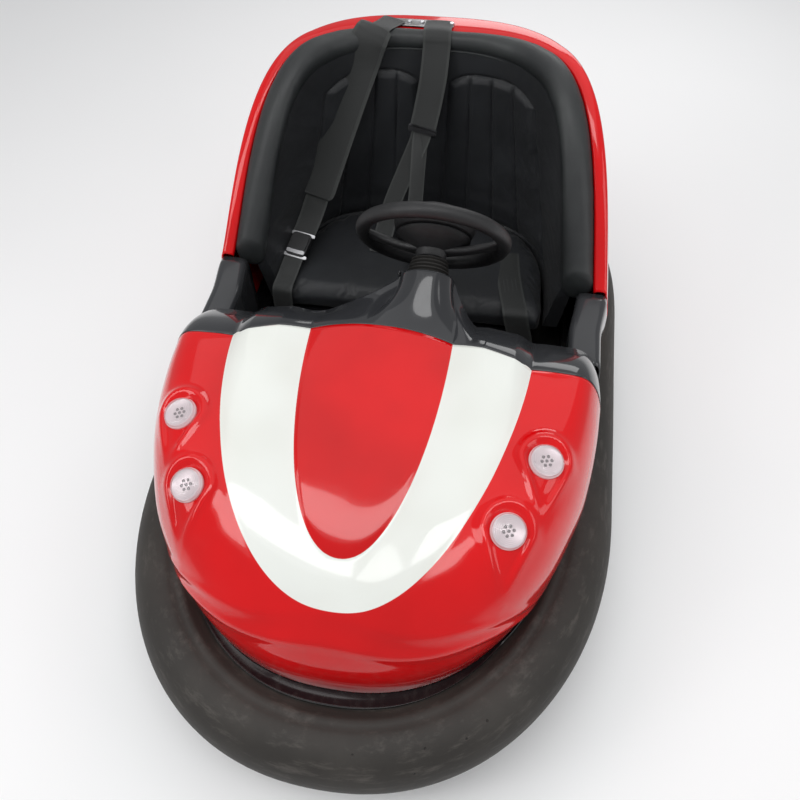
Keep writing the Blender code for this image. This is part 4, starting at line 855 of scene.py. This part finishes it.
def tail():
    """Hollow tail: straight lines from foot to rim with a sine swell, a rounded rim and a shelf turned in."""
    turn = even_turns(260)
    rim = rear_rim(turn)
    foot = np.stack([BODY_HALF * signed_power(np.cos(turn), 2 / BODY_TAIL_POWER),
                     TAIL_FRONT_Y + (BODY_REAR_Y - TAIL_FRONT_Y) * np.sin(turn) ** (2 / BODY_TAIL_POWER)], axis=1)
    foot = np.hstack([foot, lip_height(foot)[:, None]])
    r = 0.012  # the rim's rounding
    into = inward(rim)
    top = rim + [0, 0, RIM_LIFT - r]
    part = np.linspace(0, 1, 56)[:, None, None]
    side = foot + (top - foot) * part
    side[..., :2] += unit(side[..., :2] - SEAT_MIDDLE) * (SIDE_FLARE * 0.8 * np.sin(math.pi * part))
    angle = np.linspace(0, math.pi / 2, 9)[1:, None, None]
    bend = top + r * (UP * np.sin(angle) + into * (1 - np.cos(angle)))
    reach = (rim_width(turn) + 0.008 * np.sin(turn) ** 4)[:, None] * np.array([0.55, 0.85, 1.0])[:, None, None]
    dip = UP * np.array([0, 0.002, 0.008])[:, None, None]
    shelf = top + UP * r + into * np.maximum(reach, r * 1.3) - dip
    grid = np.concatenate([side, bend, shelf]).transpose(1, 0, 2)
    obj = sheet_piece("tail_panel", grid, SHELL_WALL, lambda c: Vector((c.x, c.y - SEAT_MIDDLE[1], 0.1)), TAIL,
                      "red_gelcoat", sharp=50.0)
    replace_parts(obj, "rear_shell")


def roll_frame(turn):
    """The padded roll's middle, its inward direction and its two radii, which grow down the sides."""
    rim = rear_rim(turn)
    into = inward(rim)
    side = (1 - np.sin(turn) ** 5)[:, None]
    low = (1 - np.clip(np.sin(turn) / 0.75, 0, 1) ** 1.4)[:, None]
    middle = rim + into * (rim_width(turn) + COAMING_R + PLAY)[:, None] - UP * ROLL_DROP
    middle = middle + into * (0.009 * side + 0.003 * low) - UP * (0.006 * side - 0.002 * low)
    across = COAMING_R - 0.005 + 0.015 * side + 0.003 * low
    return middle, into, across, COAMING_R - 0.002 + 0.014 * side + 0.006 * low


def pillow(values):
    """Turns a -1..1 coordinate into the height of a stuffed channel: (1 - value^2)^0.35."""
    return np.clip(1 - values**2, 0, 1) ** 0.35


def coaming():
    """Padded roll round the seat: an ellipse carried along the rim, with rounded ends, puckers and a welt."""
    turn = even_turns(420, 0.004)
    middle, into, across, up = roll_frame(turn)
    far = np.linspace(-1, 1, len(turn))
    ends = np.sqrt(np.clip(1 - ((np.abs(far) - 0.992) / 0.008).clip(0, 1) ** 2, 0.55, 1))[:, None]
    angle = full_turn(48)[None, :]
    length = 2.1 * far[:, None]
    pucker = np.sin(length * 37 + 2 * np.sin(length * 11)) * np.sin(angle * 2 + length * 5)
    size = ends * (1 + 0.010 * pucker * np.sin(length * 7) ** 2)
    c, s = np.cos(angle) * across * size, np.sin(angle) * up * size
    sections = middle[:, None] - into[:, None] * c[..., None] + UP * s[..., None]
    obj = closed_piece("coaming_pad", sections, LIT_BORDER, "black_vinyl", sharp=60.0)
    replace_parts(obj, "coaming_roll")
    seam = math.radians(222)
    path = middle - into * (np.cos(seam) * across * 1.03) + UP * (np.sin(seam) * up * 1.03)
    welt("coaming_welt", path[6:-6], 0.0032)


def welt(name, path, radius):
    """A round welt: a circle carried along a path."""
    way = unit(np.gradient(path, axis=0))
    first = unit(np.cross(way, [0.02, 0.03, 1.0]))
    second = np.cross(way, first)
    angle = full_turn(10)[None, :, None]
    sections = path[:, None] + radius * (np.cos(angle) * first[:, None] + np.sin(angle) * second[:, None])
    closed_piece(name, sections, LIT_BORDER, "black_vinyl")


def panel_relief(x, z):
    """Two quilted panels: a rounded outline seam, four crowned channels in each and the seams between them."""
    high, low = 0.822, 0.405
    part = np.clip((high - z) / (high - low), 0, 1)
    inner, outer = 0.040 - 0.012 * part, 0.262 + 0.080 * part
    width = outer - inner
    place = (np.abs(x) - inner) / width
    arch = high - 0.030 * np.abs(2 * place - 1).clip(0, 1.4) ** 3.5
    edge_x = np.minimum(place, 1 - place) * width
    edge_z = np.minimum(arch - z, z - low)
    both = np.minimum(edge_x, edge_z)
    inside = smooth(both, 0.0, 0.020)
    channel = np.clip(place, 0, 0.9999) * 4
    across = (channel % 1) * 2 - 1
    crown = 0.0060 * pillow(across * 0.97) + 0.0015
    seam = np.exp(-(((1 - np.abs(across)) * width / 8 / 0.0032) ** 2)) * smooth(both, 0.0, 0.004)
    outline = np.exp(-((both / 0.0034) ** 2))
    return inside * crown - 0.0045 * seam * smooth(both, 0.0, 0.006) - 0.0055 * outline


def back_pad():
    """The padded wall round the seat: ruled from its foot to the roll, hollowed a little and quilted."""
    turn = even_turns(440, 0.006)
    middle, into, across, _ = roll_frame(turn)
    foot = np.hstack([back_foot(turn), np.full((len(turn), 1), SEAT_BASE_Z + PLAY)])
    top = middle + into * (across - 0.004) - [0, 0, 0.004]
    part = np.linspace(0, 1, 190)[None, :, None]
    face = foot[:, None] + (top - foot)[:, None] * part
    hollow = 0.012 * np.sin(math.pi * part) * np.sin(turn)[:, None, None] ** 2
    face = face - into[:, None] * hollow
    normals = grid_normals(face, into[:, None])
    x, z = face[..., 0], face[..., 2]
    relief = panel_relief(x, z)
    wing = (1 - np.sin(turn[:, None]) ** 3) * np.sin(math.pi * part[..., 0])
    crease = np.sin(x * 190 + 3 * np.sin(z * 60)) * np.sin(z * 31 + x * 17)
    relief = relief + wing * (0.004 * np.sin(z * 24) ** 2 + 0.0009 * crease)
    relief = relief + 0.0009 * np.sin(z * 95 + 8 * x) * np.exp(-((part[..., 0] - 0.18) / 0.1) ** 2)
    face = face + normals * relief[..., None]
    thick = BACK_T - 0.006
    tuck = face[:, -1] - into * 0.010 + [0, 0, 0.004]
    rear_top = top - into * thick * 0.7 - [0, 0, 0.006]
    rear_low = foot - into * thick + [0, 0, 0.002]
    rear = rear_low[:, None] + (rear_top - rear_low)[:, None] * np.linspace(1, 0, 9)[None, :, None]
    sections = np.concatenate([face, tuck[:, None], rear], axis=1)
    obj = closed_piece("back_pad", sections, SHADED_QUILT, "black_vinyl", sharp=70.0)
    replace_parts(obj, "backrest")


# ---------------------------------------------------------------- bench


def stuffed(obj, voxel, pressure, cap, frames=20):
    """Where the piece's points go when it is blown up as cloth, none of them further than cap."""
    scene = bpy.context.scene
    remesh = obj.modifiers.new("remesh", "REMESH")
    remesh.mode = "VOXEL"
    remesh.voxel_size = voxel
    graph = bpy.context.evaluated_depsgraph_get()
    even = bpy.data.meshes.new_from_object(obj.evaluated_get(graph))
    obj.modifiers.clear()
    even.materials.clear()
    even.materials.append(obj.data.materials[0])
    obj.data = even
    start = np.empty(len(even.vertices) * 3, np.float32)
    even.vertices.foreach_get("co", start)
    cloth = obj.modifiers.new("stuffing", "CLOTH")
    for key, value in (("quality", 4), ("mass", 0.25), ("tension_stiffness", 12), ("compression_stiffness", 12),
                       ("bending_stiffness", 0.6), ("use_pressure", True), ("uniform_pressure_force", pressure)):
        setattr(cloth.settings, key, value)
    cloth.settings.effector_weights.gravity = 0
    cloth.point_cache.frame_start, cloth.point_cache.frame_end = 1, frames
    for number in range(1, frames + 1):
        scene.frame_set(number)
    graph = bpy.context.evaluated_depsgraph_get()
    done = obj.evaluated_get(graph).to_mesh()
    end = np.empty_like(start)
    done.vertices.foreach_get("co", end)
    obj.modifiers.clear()
    scene.frame_set(1)
    start, end = start.reshape(-1, 3), end.reshape(-1, 3)
    move = end - start
    far = np.linalg.norm(move, axis=1, keepdims=True)
    return start + move * np.minimum(1, cap / np.maximum(far, 1e-9))


def cushion_shape(side):
    """Half of the bench: a rounded box in which each row across the car is a squared-off ellipse."""
    edge = back_foot(np.linspace(0.02, math.pi / 2, 300))
    first_y, last_y = 0.160, 0.523
    y = np.concatenate([[first_y, 0.1605], np.linspace(0.163, 0.520, 56), [last_y]])
    half = np.where(y > BACK_FRONT_Y, np.interp(y, edge[:, 1], edge[:, 0]), BACK_HALF) - 0.0065
    inner = 0.0035
    centre, reach = (half + inner)[:, None] / 2, (half - inner)[:, None] / 2
    front = (1 - np.clip((y - first_y) / 0.040, 0, 1)) ** 2
    rear = (1 - np.clip((last_y - y) / 0.020, 0, 1)) ** 2
    shrink = np.sqrt(np.clip(1 - np.maximum(front, rear) * 0.86, 0, 1))[:, None]
    angle = full_turn(96)
    cx, cz = signed_power(np.cos(angle), 2 / 7.0), signed_power(np.sin(angle), 2 / 7.0)
    tall = CUSHION_T / 2 - 0.006
    x = centre + (reach - 0.012 * (1 - shrink)) * cx
    z = SEAT_BASE_Z + 0.003 + tall + tall * shrink * cz
    arch = np.sin(math.pi * np.clip((y - 0.16) / 0.363, 0, 1))[:, None] ** 0.5
    crown = 0.007 * np.clip(cz, 0, 1) * (1 - ((x - centre) / reach) ** 2) * arch
    return np.stack([x * side, np.broadcast_to(y[:, None], x.shape), z + crown], axis=2)


def bench():
    """Two stuffed cushions side by side, kept on the seat base and clear of each other."""
    for side, word in SIDES:
        obj = closed_piece(f"bench_cushion_{word}", cushion_shape(side), SHADED_QUILT, "black_vinyl", sharp=180.0)
        places = stuffed(obj, voxel=0.005, pressure=3.0, cap=0.007)
        places[:, 2] = np.clip(places[:, 2], SEAT_BASE_Z + 0.0008, SEAT_BASE_Z + CUSHION_T + 0.014)
        places[:, 0] = np.where(side * places[:, 0] < 0.0012, side * 0.0012, places[:, 0])
        places[:, 1] = np.maximum(places[:, 1], 0.1535)
        obj.data.vertices.foreach_set("co", places.astype(np.float32).ravel())
        obj.data.shade_smooth()
        more = obj.modifiers.new("soften", "SUBSURF")
        more.levels = more.render_levels = 1
        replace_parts(obj, "seat_cushion")


# ---------------------------------------------------------------- lamps


def hood_seat(x, y):
    """The hood's base above a place in plan, and its direction there."""
    grid = hood_base()
    near = np.hypot(grid[..., 0] - x, grid[..., 1] - y) + 9 * (grid[..., 2] < 0.38)
    found = np.unravel_index(np.argmin(near), near.shape)
    normal = grid_normals(grid)[found]
    return grid[found], normal * np.sign(normal[2])


def lamps():
    """Four round marker lamps: a clear ribbed dome on a flange, over a pale bed with seven diodes."""
    dome = [(-0.004, 0.0005), (-0.004, 0.030), (-0.004, 0.0355), (0.0046, 0.0362), (0.0060, 0.0354),
            (0.0066, 0.0335), (0.0118, 0.0328), (0.0150, 0.0306), (0.0170, 0.0255), (0.0186, 0.0175),
            (0.0194, 0.0080), (0.0196, 0.0005)]
    bed = [(-0.0040, 0.0315), (0.0072, 0.0322), (0.0074, 0.0310), (0.0058, 0.0285), (0.0062, 0.0005)]
    profile = eased(resampled(np.array(dome), 44), 1)
    ring = np.repeat(profile[:, 1], 56)
    for (x, y), end in zip(LAMP_PLACES, ("rear", "front")):
        for side, word in SIDES:
            place, normal = (found * [side, 1, 1] for found in hood_seat(x, y))
            place = place - normal * 0.0005
            name = f"{word}_{end}"
            obj = turned(f"lamp_lens_{name}", place, normal, profile, LENS, "lamp_lens", count=56,
                         values={"ring": ring}, sharp=50.0)
            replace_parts(obj, f"lamp_{name}")
            turned(f"lamp_bed_{name}", place, normal, bed, LAMP_BED, "lamp_lens", count=48)
            _, first, second = axis_frame(normal)
            turn = (full_turn(6) + 0.3)[:, None]
            spots = np.concatenate([[[0, 0, 0]], 0.0100 * (np.cos(turn) * first + np.sin(turn) * second)])
            studs(f"lamp_diodes_{name}", place + normal * 0.0064 + spots, [normal] * 7, 0.0034, 0.0008, DIODE,
                  "lamp_lens", sides=12)


def studs(name, places, normals, radius, height, finish_used, slot, body="chassis", sides=6):
    """Many small domed heads in one mesh: each a prism with its top edge taken off."""
    angle = full_turn(sides)[:, None]
    rings = [(-height, 1.0), (0.62 * height, 1.0), (height, 0.80)]
    points, faces = [], []
    for place, normal in zip(places, normals):
        axis, first, second = axis_frame(normal)
        out = np.cos(angle) * first + np.sin(angle) * second
        base = len(points) * sides
        points += [np.asarray(place) + axis * up + out * radius * wide for up, wide in rings]
        faces += (quads(3, sides, close_columns=True) + base).tolist()
        faces += [list(range(base, base + sides)), list(range(base + 2 * sides, base + 3 * sides))]
    return piece(name, np.concatenate(points), faces, finish_used, slot, body, sharp=30.0)


# ---------------------------------------------------------------- belts


def finer(line, steps):
    """The line with each of its stretches cut into steps."""
    return along_run(np.linspace(0, len(line) - 1, steps * (len(line) - 1) + 1), np.arange(len(line)), line)


def belt_axes(way):
    """Directions across a belt and out of its face, where it runs along way."""
    across = unit(np.array([1.0, 0, 0]) - way * way[..., :1])
    return across, np.cross(way, across)


def belt_run(route):
    """A belt's smoothed path, finer than its solid's, with its width and face directions."""
    line = eased(finer(eased(finer(np.asarray(route, float), 4), 2), 5), 10)
    return line, *belt_axes(unit(np.gradient(line, axis=0)))


def band(name, run, width, thickness, camber=0.0012, twist=0.0, rounded=False):
    """A belt: a thin lens-shaped section along its run, bowed by camber, with UV in metres for its weave."""
    line, across, up = run
    if twist:
        angle = twist * np.sin(math.pi * np.linspace(0, 1, len(line))[:, None]) ** 2
        across, up = across * np.cos(angle) + up * np.sin(angle), up * np.cos(angle) - across * np.sin(angle)
    u = np.linspace(-1, 1, 11)
    thick = thickness / 2 * (1 - 0.55 * np.abs(u) ** 8)
    bow = camber * (1 - u**2)
    narrow = np.ones(len(line))
    if rounded:
        ends = np.minimum(np.arange(len(line)), np.arange(len(line))[::-1]) / 5.0
        narrow = 0.80 + 0.20 * np.sqrt(np.clip(1 - (1 - ends.clip(0, 1)) ** 2, 0, 1))
    sides = np.concatenate([u, u[::-1]])
    reach = (sides * width / 2)[None, :]
    heights = np.concatenate([bow + thick, (bow - thick)[::-1]])[None, :, None]
    points = line[:, None] + across[:, None] * reach[..., None] * narrow[:, None, None] + up[:, None] * heights
    uv = np.stack(np.broadcast_arrays(reach, run_length(line)[:, None]), axis=2).reshape(-1, 2)
    edge = np.broadcast_to(np.abs(sides), points.shape[:2])
    return closed_piece(name, points, WEBBING, "webbing", uv=uv, values={"edge": edge}, sharp=40.0)


def over_roll(start_x, end_x):
    """Points of a belt over the padded roll, from its top to its front."""
    middle = roll_frame(np.linspace(math.pi - 0.3, 0.3, 300))[0]
    points = []
    for part, angle in zip(np.linspace(0, 1, 5), np.radians((80, 105, 130, 155, 180))):
        x = start_x + (end_x - start_x) * part
        y, z = (np.interp(x, middle[:, 0], middle[:, k]) for k in (1, 2))
        points.append((x, y + 0.0250 * math.cos(angle), z + 0.0285 * math.sin(angle)))
    return points


def stitches(name, run, span, lift, rows):
    """Rows of thread dashes that stand just proud of a belt."""
    at = np.arange(span[0], span[1], STITCH_PITCH)
    place, across, up = (along_run(at, run_length(run[0]), values) for values in run)
    places = np.concatenate([place + across * offset + up * lift for offset in rows])
    studs(name, places, np.tile(up, (len(rows), 1)), 0.0009, 0.0005, THREAD, "webbing")


def belts():
    """Both riders' belts, as they lie: anchor plate, shoulder belts, pad, slider, tails, buckle and lap belts."""
    rim_y = BODY_REAR_Y - REAR_LEAN
    top = REAR_TOP_Z + RIM_LIFT + 0.0003
    lie = top + 0.0058
    seat = SEAT_BASE_Z + CUSHION_T + 0.0024
    front = 0.1500
    down = [(-0.188, 0.583, 0.838), (-0.210, 0.560, 0.780), (-0.240, 0.520, 0.700), (-0.280, 0.455, 0.590),
            (-0.308, 0.378, 0.505), (-0.320, 0.318, 0.482)]
    over = [(-0.112, rim_y - 0.046, lie), (-0.124, rim_y - 0.070, lie + 0.001)] + over_roll(-0.140, -0.168)
    shoulder = belt_run(over + down)
    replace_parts(band("belt_web_shoulder_right", shoulder, 0.066, 0.0018), "belt_shoulder_right")
    line, across, up = shoulder
    first, last = int(len(line) * 0.23), int(len(line) * 0.88)
    pad_run = (line[first:last] + up[first:last] * 0.0052, across[first:last], up[first:last])
    pad = band("belt_sleeve", pad_run, 0.094, 0.0070, camber=0.0020, rounded=True)
    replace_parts(pad, "belt_pad")
    length = run_length(pad_run[0])[-1]
    stitches("belt_sleeve_stitches", pad_run, (0.008, length - 0.008), 0.0048, (-0.039, 0.039))

    end = np.array(down[-1])
    leg = unit(end - down[-2])
    buckle(end + leg * 0.0306, leg)
    lap = [end + leg * 0.0595, end + leg * 0.090, (-0.342, 0.200, seat + 0.004), (-0.344, 0.168, seat + 0.003),
           (-0.345, front + 0.003, seat - 0.008), (-0.346, front, seat - 0.034), (-0.349, front, 0.340),
           (-0.352, front - 0.004, 0.270)]
    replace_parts(band("belt_web_lap_right", belt_run(lap), 0.054, 0.0018), "belt_lap_right")

    middle = [(0.004, rim_y - 0.046, lie), (0.005, rim_y - 0.070, lie + 0.001)] + over_roll(0.006, 0.008)
    middle += [(0.004, 0.570, 0.820), (-0.008, 0.545, 0.750), (-0.016, 0.528, 0.712)]
    web = band("belt_web_shoulder_middle", belt_run(middle), 0.070, 0.0022, camber=0.002)
    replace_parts(web, "belt_shoulder_middle")
    end = np.array(middle[-1])
    leg = unit(end - middle[-2])
    slider(end + leg * 0.011, leg)
    outer = belt_run([end + leg * 0.006, end + leg * 0.036, (-0.052, 0.475, 0.617), (-0.086, 0.425, 0.540),
                      (-0.104, 0.372, 0.465), (-0.112, 0.330, seat + 0.002)])
    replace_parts(band("belt_web_tail_outer", outer, 0.054, 0.0018, twist=0.35), "belt_tails")
    inner = belt_run([end + leg * 0.008, end + leg * 0.034, (-0.021, 0.470, 0.630), (-0.020, 0.420, 0.560),
                      (-0.024, 0.370, 0.480), (-0.030, 0.320, seat + 0.002)])
    band("belt_web_tail_inner", inner, 0.042, 0.0016, twist=-0.5)

    left = [(0.243, 0.380, seat), (0.252, 0.300, seat), (0.268, 0.225, seat + 0.001), (0.281, 0.170, seat + 0.002),
            (0.285, front + 0.003, seat - 0.008), (0.290, front, seat - 0.032), (0.304, front, 0.350),
            (0.312, front - 0.004, 0.290)]
    run = belt_run(left)
    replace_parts(band("belt_web_lap_left", run, 0.064, 0.0019), "belt_lap_left")
    stitches("belt_lap_stitches", run, (0.105, 0.150), 0.0022, (-0.016, -0.006, 0.006, 0.016))

    plate = rounded_plate("belt_anchor_plate", (-0.0540, rim_y - 0.054, top + 0.002), (0.096, 0.017), 0.0038, STEEL,
                          "steel")
    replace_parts(plate, "belt_anchor")
    places = [(x, rim_y - 0.054, top + 0.004) for x in (-0.072, -0.040, 0.036)]
    studs("belt_anchor_bolts", places, [UP] * 3, 0.0062, 0.0045, CHROME, "chrome")


def rounded_plate(name, centre, half, thickness, finish_used, slot, along=(1.0, 0, 0), up=UP, power=5.0):
    """A flat plate with a superellipse outline and softened edges."""
    along, up = np.asarray(along), np.asarray(up)
    angle = full_turn(56)[:, None]
    x, y = (length * signed_power(wave(angle), 2 / power) for length, wave in zip(half, (np.cos, np.sin)))
    sections = [centre + x * shrink * along + y * shrink * np.cross(up, along) + up * level * thickness
                for level, shrink in ((-0.5, 0.97), (-0.35, 1.0), (0.35, 1.0), (0.5, 0.97))]
    return closed_piece(name, np.array(sections), finish_used, slot, sharp=40.0)


def buckle(centre, leg):
    """A latch buckle: black case and cover plate, chromed lift edge and the two slotted ends."""
    up = belt_axes(leg)[1]
    case = rounded_plate("belt_buckle_case", centre, (0.0350, 0.0290), 0.0150, PLASTIC, "wheel_plastic", leg, up, 6.0)
    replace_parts(case, "belt_buckle")
    rounded_plate("belt_buckle_cover", centre + up * 0.0085 - leg * 0.005, (0.0250, 0.0250), 0.0056, PLASTIC,
                  "wheel_plastic", leg, up)
    rounded_plate("belt_buckle_lift", centre + up * 0.0080 + leg * 0.0245, (0.0060, 0.0265), 0.0052, CHROME,
                  "chrome", leg, up, 6.0)
    for reach, word in ((-0.0330, "in"), (0.0340, "out")):
        rounded_plate(f"belt_buckle_bar_{word}", centre + leg * reach, (0.0056, 0.0345), 0.0056, CHROME, "chrome",
                      leg, up, 6.0)


def slider(centre, leg):
    """A three-bar slider: a steel ring pressed flat, with its middle bar."""
    up = belt_axes(leg)[1]
    obj = rounded_plate("belt_slider_bar", centre + up * 0.0035, (0.0056, 0.0385), 0.0062, DARK_STEEL, "steel", leg,
                        up)
    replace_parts(obj, "belt_slider")
    rounded_plate("belt_slider_back", centre - up * 0.0028, (0.0115, 0.0385), 0.0022, DARK_STEEL, "steel", leg, up)


# ---------------------------------------------------------------- steering


def steering():
    """Dished wheel: a thick rim, three bowed spokes, a hub and a domed pad; the ribbed boot stays with the car."""
    axis, first, second = axis_frame(COLUMN_AXIS)
    on_wheel = {"finish_used": PLASTIC, "slot": "wheel_plastic", "body": "steering"}
    turn, angle = full_turn(160)[:, None, None], full_turn(28)[None, :, None]
    out = np.cos(turn) * first + np.sin(turn) * second
    grip = 1 + 0.05 * np.clip(-np.cos(angle), 0, 1) * (0.5 + 0.5 * np.sin(turn * 44)) ** 2
    r = RIM_TUBE_R * grip
    sections = WHEEL_CENTRE + out * (RIM_R + r * 0.96 * np.cos(angle)) + axis * (r * np.sin(angle))
    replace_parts(closed_piece("wheel_rim", sections, ring=True, **on_wheel), "steering_wheel")
    hub = [(-DISH, 0.002), (-DISH, HUB_R - 0.002), (-DISH + 0.003, HUB_R), (-0.034, HUB_R + 0.003),
           (-0.021, 0.060), (-0.009, 0.080), (-0.001, 0.086), (0.0025, 0.084), (0.0025, 0.002)]
    turned("wheel_hub", WHEEL_CENTRE, axis, hub, **on_wheel)
    t, a = np.linspace(0, 1, 26)[:, None, None], full_turn(24)[None, :, None]
    wide = 0.026 - 0.011 * np.sin(math.pi * t) + 0.004 * t**6
    deep = 0.0105 - 0.003 * t
    for number, degrees in enumerate((0, 90, 180)):
        way = math.cos(math.radians(degrees)) * first + math.sin(math.radians(degrees)) * second
        line = WHEEL_CENTRE + way * (0.012 + (RIM_R - 0.014) * t) - axis * (DISH * 0.62 * (1 - t**1.7) - 0.001)
        shape = (line + np.cross(axis, way) * (wide * signed_power(np.cos(a), 0.7))
                 + axis * (deep * signed_power(np.sin(a), 0.7)))
        closed_piece(f"wheel_spoke_{number + 1}", shape, **on_wheel)
    dome = [(0.0032, 0.002), (0.0032, 0.078), (0.0080, 0.087), (0.0220, 0.0930), (0.0340, 0.0945),
            (0.0400, 0.0930), (0.0420, 0.0895), (0.0412, 0.0865), (0.0460, 0.0835), (0.0560, 0.0740),
            (0.0625, 0.0590), (0.0660, 0.0340), (0.0670, 0.002)]
    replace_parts(turned("wheel_pad_dome", WHEEL_CENTRE, axis, dome, **on_wheel), "wheel_pad")
    t = np.linspace(0, 1, 70)
    fold = 0.0042 * np.cos(t * 5 * 2 * math.pi)
    outside = np.stack([BOOT_TOP - t * BOOT_L, BOOT_R * (0.86 + 0.20 * t) + fold - 0.002], axis=1)
    inside = np.array([[BOOT_TOP - BOOT_L, SHAFT_R + 0.006], [BOOT_TOP, SHAFT_R + 0.006]])
    boot = turned("column_bellows", WHEEL_CENTRE, axis, np.concatenate([outside, inside]), BOOT, "mat_rubber",
                  ring=True, count=72)
    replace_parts(boot, "column_boot")


# ---------------------------------------------------------------- wheels and fixings


def tyres():
    """Solid tyres with three grooves round the tread, and five bolts on each hub."""
    for node, body, centre, radius, width, rim_r in (
            ("drive", "drive_wheel", (0, -0.450, 0.110), 0.110, 0.060, 0.070),
            ("rear_left", "rear_wheel_left", (0.300, 0.620, 0.075), 0.075, 0.048, 0.050),
            ("rear_right", "rear_wheel_right", (-0.300, 0.620, 0.075), 0.075, 0.048, 0.050)):
        half, wall_r, bead_r = width / 2, radius - 0.016, rim_r + 0.0008
        along = np.linspace(-half + 0.004, half - 0.004, 61)
        groove = sum(np.exp(-(((along - at) / 0.0016) ** 4)) for at in (-half * 0.5, 0.0, half * 0.5))
        shoulder = 0.006 * np.clip((np.abs(along) - half + 0.010) / 0.006, 0, 1) ** 2
        tread = np.stack([along, radius - 0.0012 * (along / half) ** 2 - shoulder - 0.003 * groove], axis=1)
        profile = np.concatenate([[[-half, bead_r], [-half, wall_r]], tread, [[half, wall_r], [half, bead_r]]])
        obj = turned(f"{node}_solid_tyre", np.array(centre), (1, 0, 0), profile, TYRE, "tyre_rubber", body,
                     ring=True, count=96, sharp=40.0)
        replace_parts(obj, f"{node}_tyre")
        reach = (0.026 + rim_r - 0.012) / 2
        spots = [(sign, reach * math.cos(a), reach * math.sin(a)) for sign in (-1, 1) for a in full_turn(5) + 0.3]
        studs(f"{node}_wheel_bolts", np.array(centre) + np.array(spots) * [0.008, 1, 1],
              [(sign, 0, 0) for sign, _, _ in spots], 0.0050, 0.0045, DARK_STEEL, "steel", body)


def fixings():
    """Bolts on the frame and on the drive bridge."""
    places = [(sx * 0.215, y, 0.126) for y in (-0.660, -0.190, 0.180, 0.490, 0.722) for sx in (-1, 1)]
    studs("frame_bolts", places, [-UP] * len(places), 0.0080, 0.0060, DARK_STEEL, "steel")
    places = [(sx * 0.220, -0.450 + dy, 0.1786) for sx in (-1, 1) for dy in (-0.022, 0.022)]
    places += [(sx * 0.150, -0.450, 0.352) for sx in (-1, 1)]
    studs("bridge_bolts", places, [UP] * len(places), 0.0070, 0.0055, DARK_STEEL, "steel")


for make in (bumper, ledge, hood, cowl, pylon, sills, tail, coaming, back_pad, bench, lamps, belts, steering, tyres,
             fixings):
    make()


# ---------------------------------------------------------------- camera, light and floor


def camera():
    """Seen from in front and above, a little to the driver's left."""
    yaw, pitch, roll = (math.radians(a) for a in (-12.26, 52.77, -2.72))
    ahead = Vector((math.sin(yaw) * math.cos(pitch), math.cos(yaw) * math.cos(pitch), -math.sin(pitch)))
    right = Vector((math.cos(yaw), -math.sin(yaw), 0.0))
    above = right.cross(ahead)
    right, above = (math.cos(roll) * right + math.sin(roll) * above,
                    math.cos(roll) * above - math.sin(roll) * right)
    data = bpy.data.cameras.new("camera")
    data.sensor_width = 36.0
    data.lens = 0.9625 * data.sensor_width
    obj = bpy.data.objects.new("camera", data)
    turn = Matrix((right, above, -ahead)).transposed().to_4x4()
    obj.matrix_world = Matrix.Translation((0.274, -1.256, 1.898)) @ turn
    bpy.context.scene.collection.objects.link(obj)
    bpy.context.scene.camera = obj


def softbox(name, place, target, size, power):
    """A rectangle of soft light that faces its target."""
    data = bpy.data.lights.new(name, "AREA")
    data.shape = "RECTANGLE"
    data.size, data.size_y = size
    data.energy = power
    obj = bpy.data.objects.new(name, data)
    obj.location = place
    obj.rotation_euler = (Vector(target) - Vector(place)).to_track_quat("-Z", "Y").to_euler()
    bpy.context.scene.collection.objects.link(obj)


def studio():
    """Even light from above and all round, over a pale floor."""
    world = bpy.data.worlds.new("studio")
    world.use_nodes = True
    sky = world.node_tree.nodes["Background"]
    sky.inputs["Color"].default_value, sky.inputs["Strength"].default_value = (0.97, 0.98, 1.0, 1), 0.42
    bpy.context.scene.world = world
    softbox("overhead", (0.1, -1.3, 3.6), (0, -0.3, 0.4), (3.0, 0.8), 34)
    softbox("ceiling", (0.0, 0.6, 4.6), (0, 0, 0.0), (6.5, 6.5), 74)
    softbox("key", (-2.2, -1.6, 2.6), (0, -0.3, 0.4), (1.2, 1.8), 26)
    softbox("fill", (2.6, -1.0, 2.0), (0, 0, 0.4), (1.4, 1.4), 12)
    softbox("rear", (0.6, 3.0, 2.2), (0, 0.2, 0.6), (2.0, 1.0), 20)
    mesh = bpy.data.meshes.new("floor")
    mesh.from_pydata([(-9, -9, 0), (9, -9, 0), (9, 9, 0), (-9, 9, 0)], [], [(0, 1, 2, 3)])
    mesh.materials.append(finish("studio_floor", {}, lambda place: {
        "Base Color": place.noise(1.5).blend((0.90, 0.90, 0.90), (0.93, 0.93, 0.93)), "Roughness": 0.85}))
    obj = bpy.data.objects.new("floor", mesh)
    bpy.context.scene.collection.objects.link(obj)


camera()
studio()
bpy.context.scene.view_settings.view_transform = "Standard"
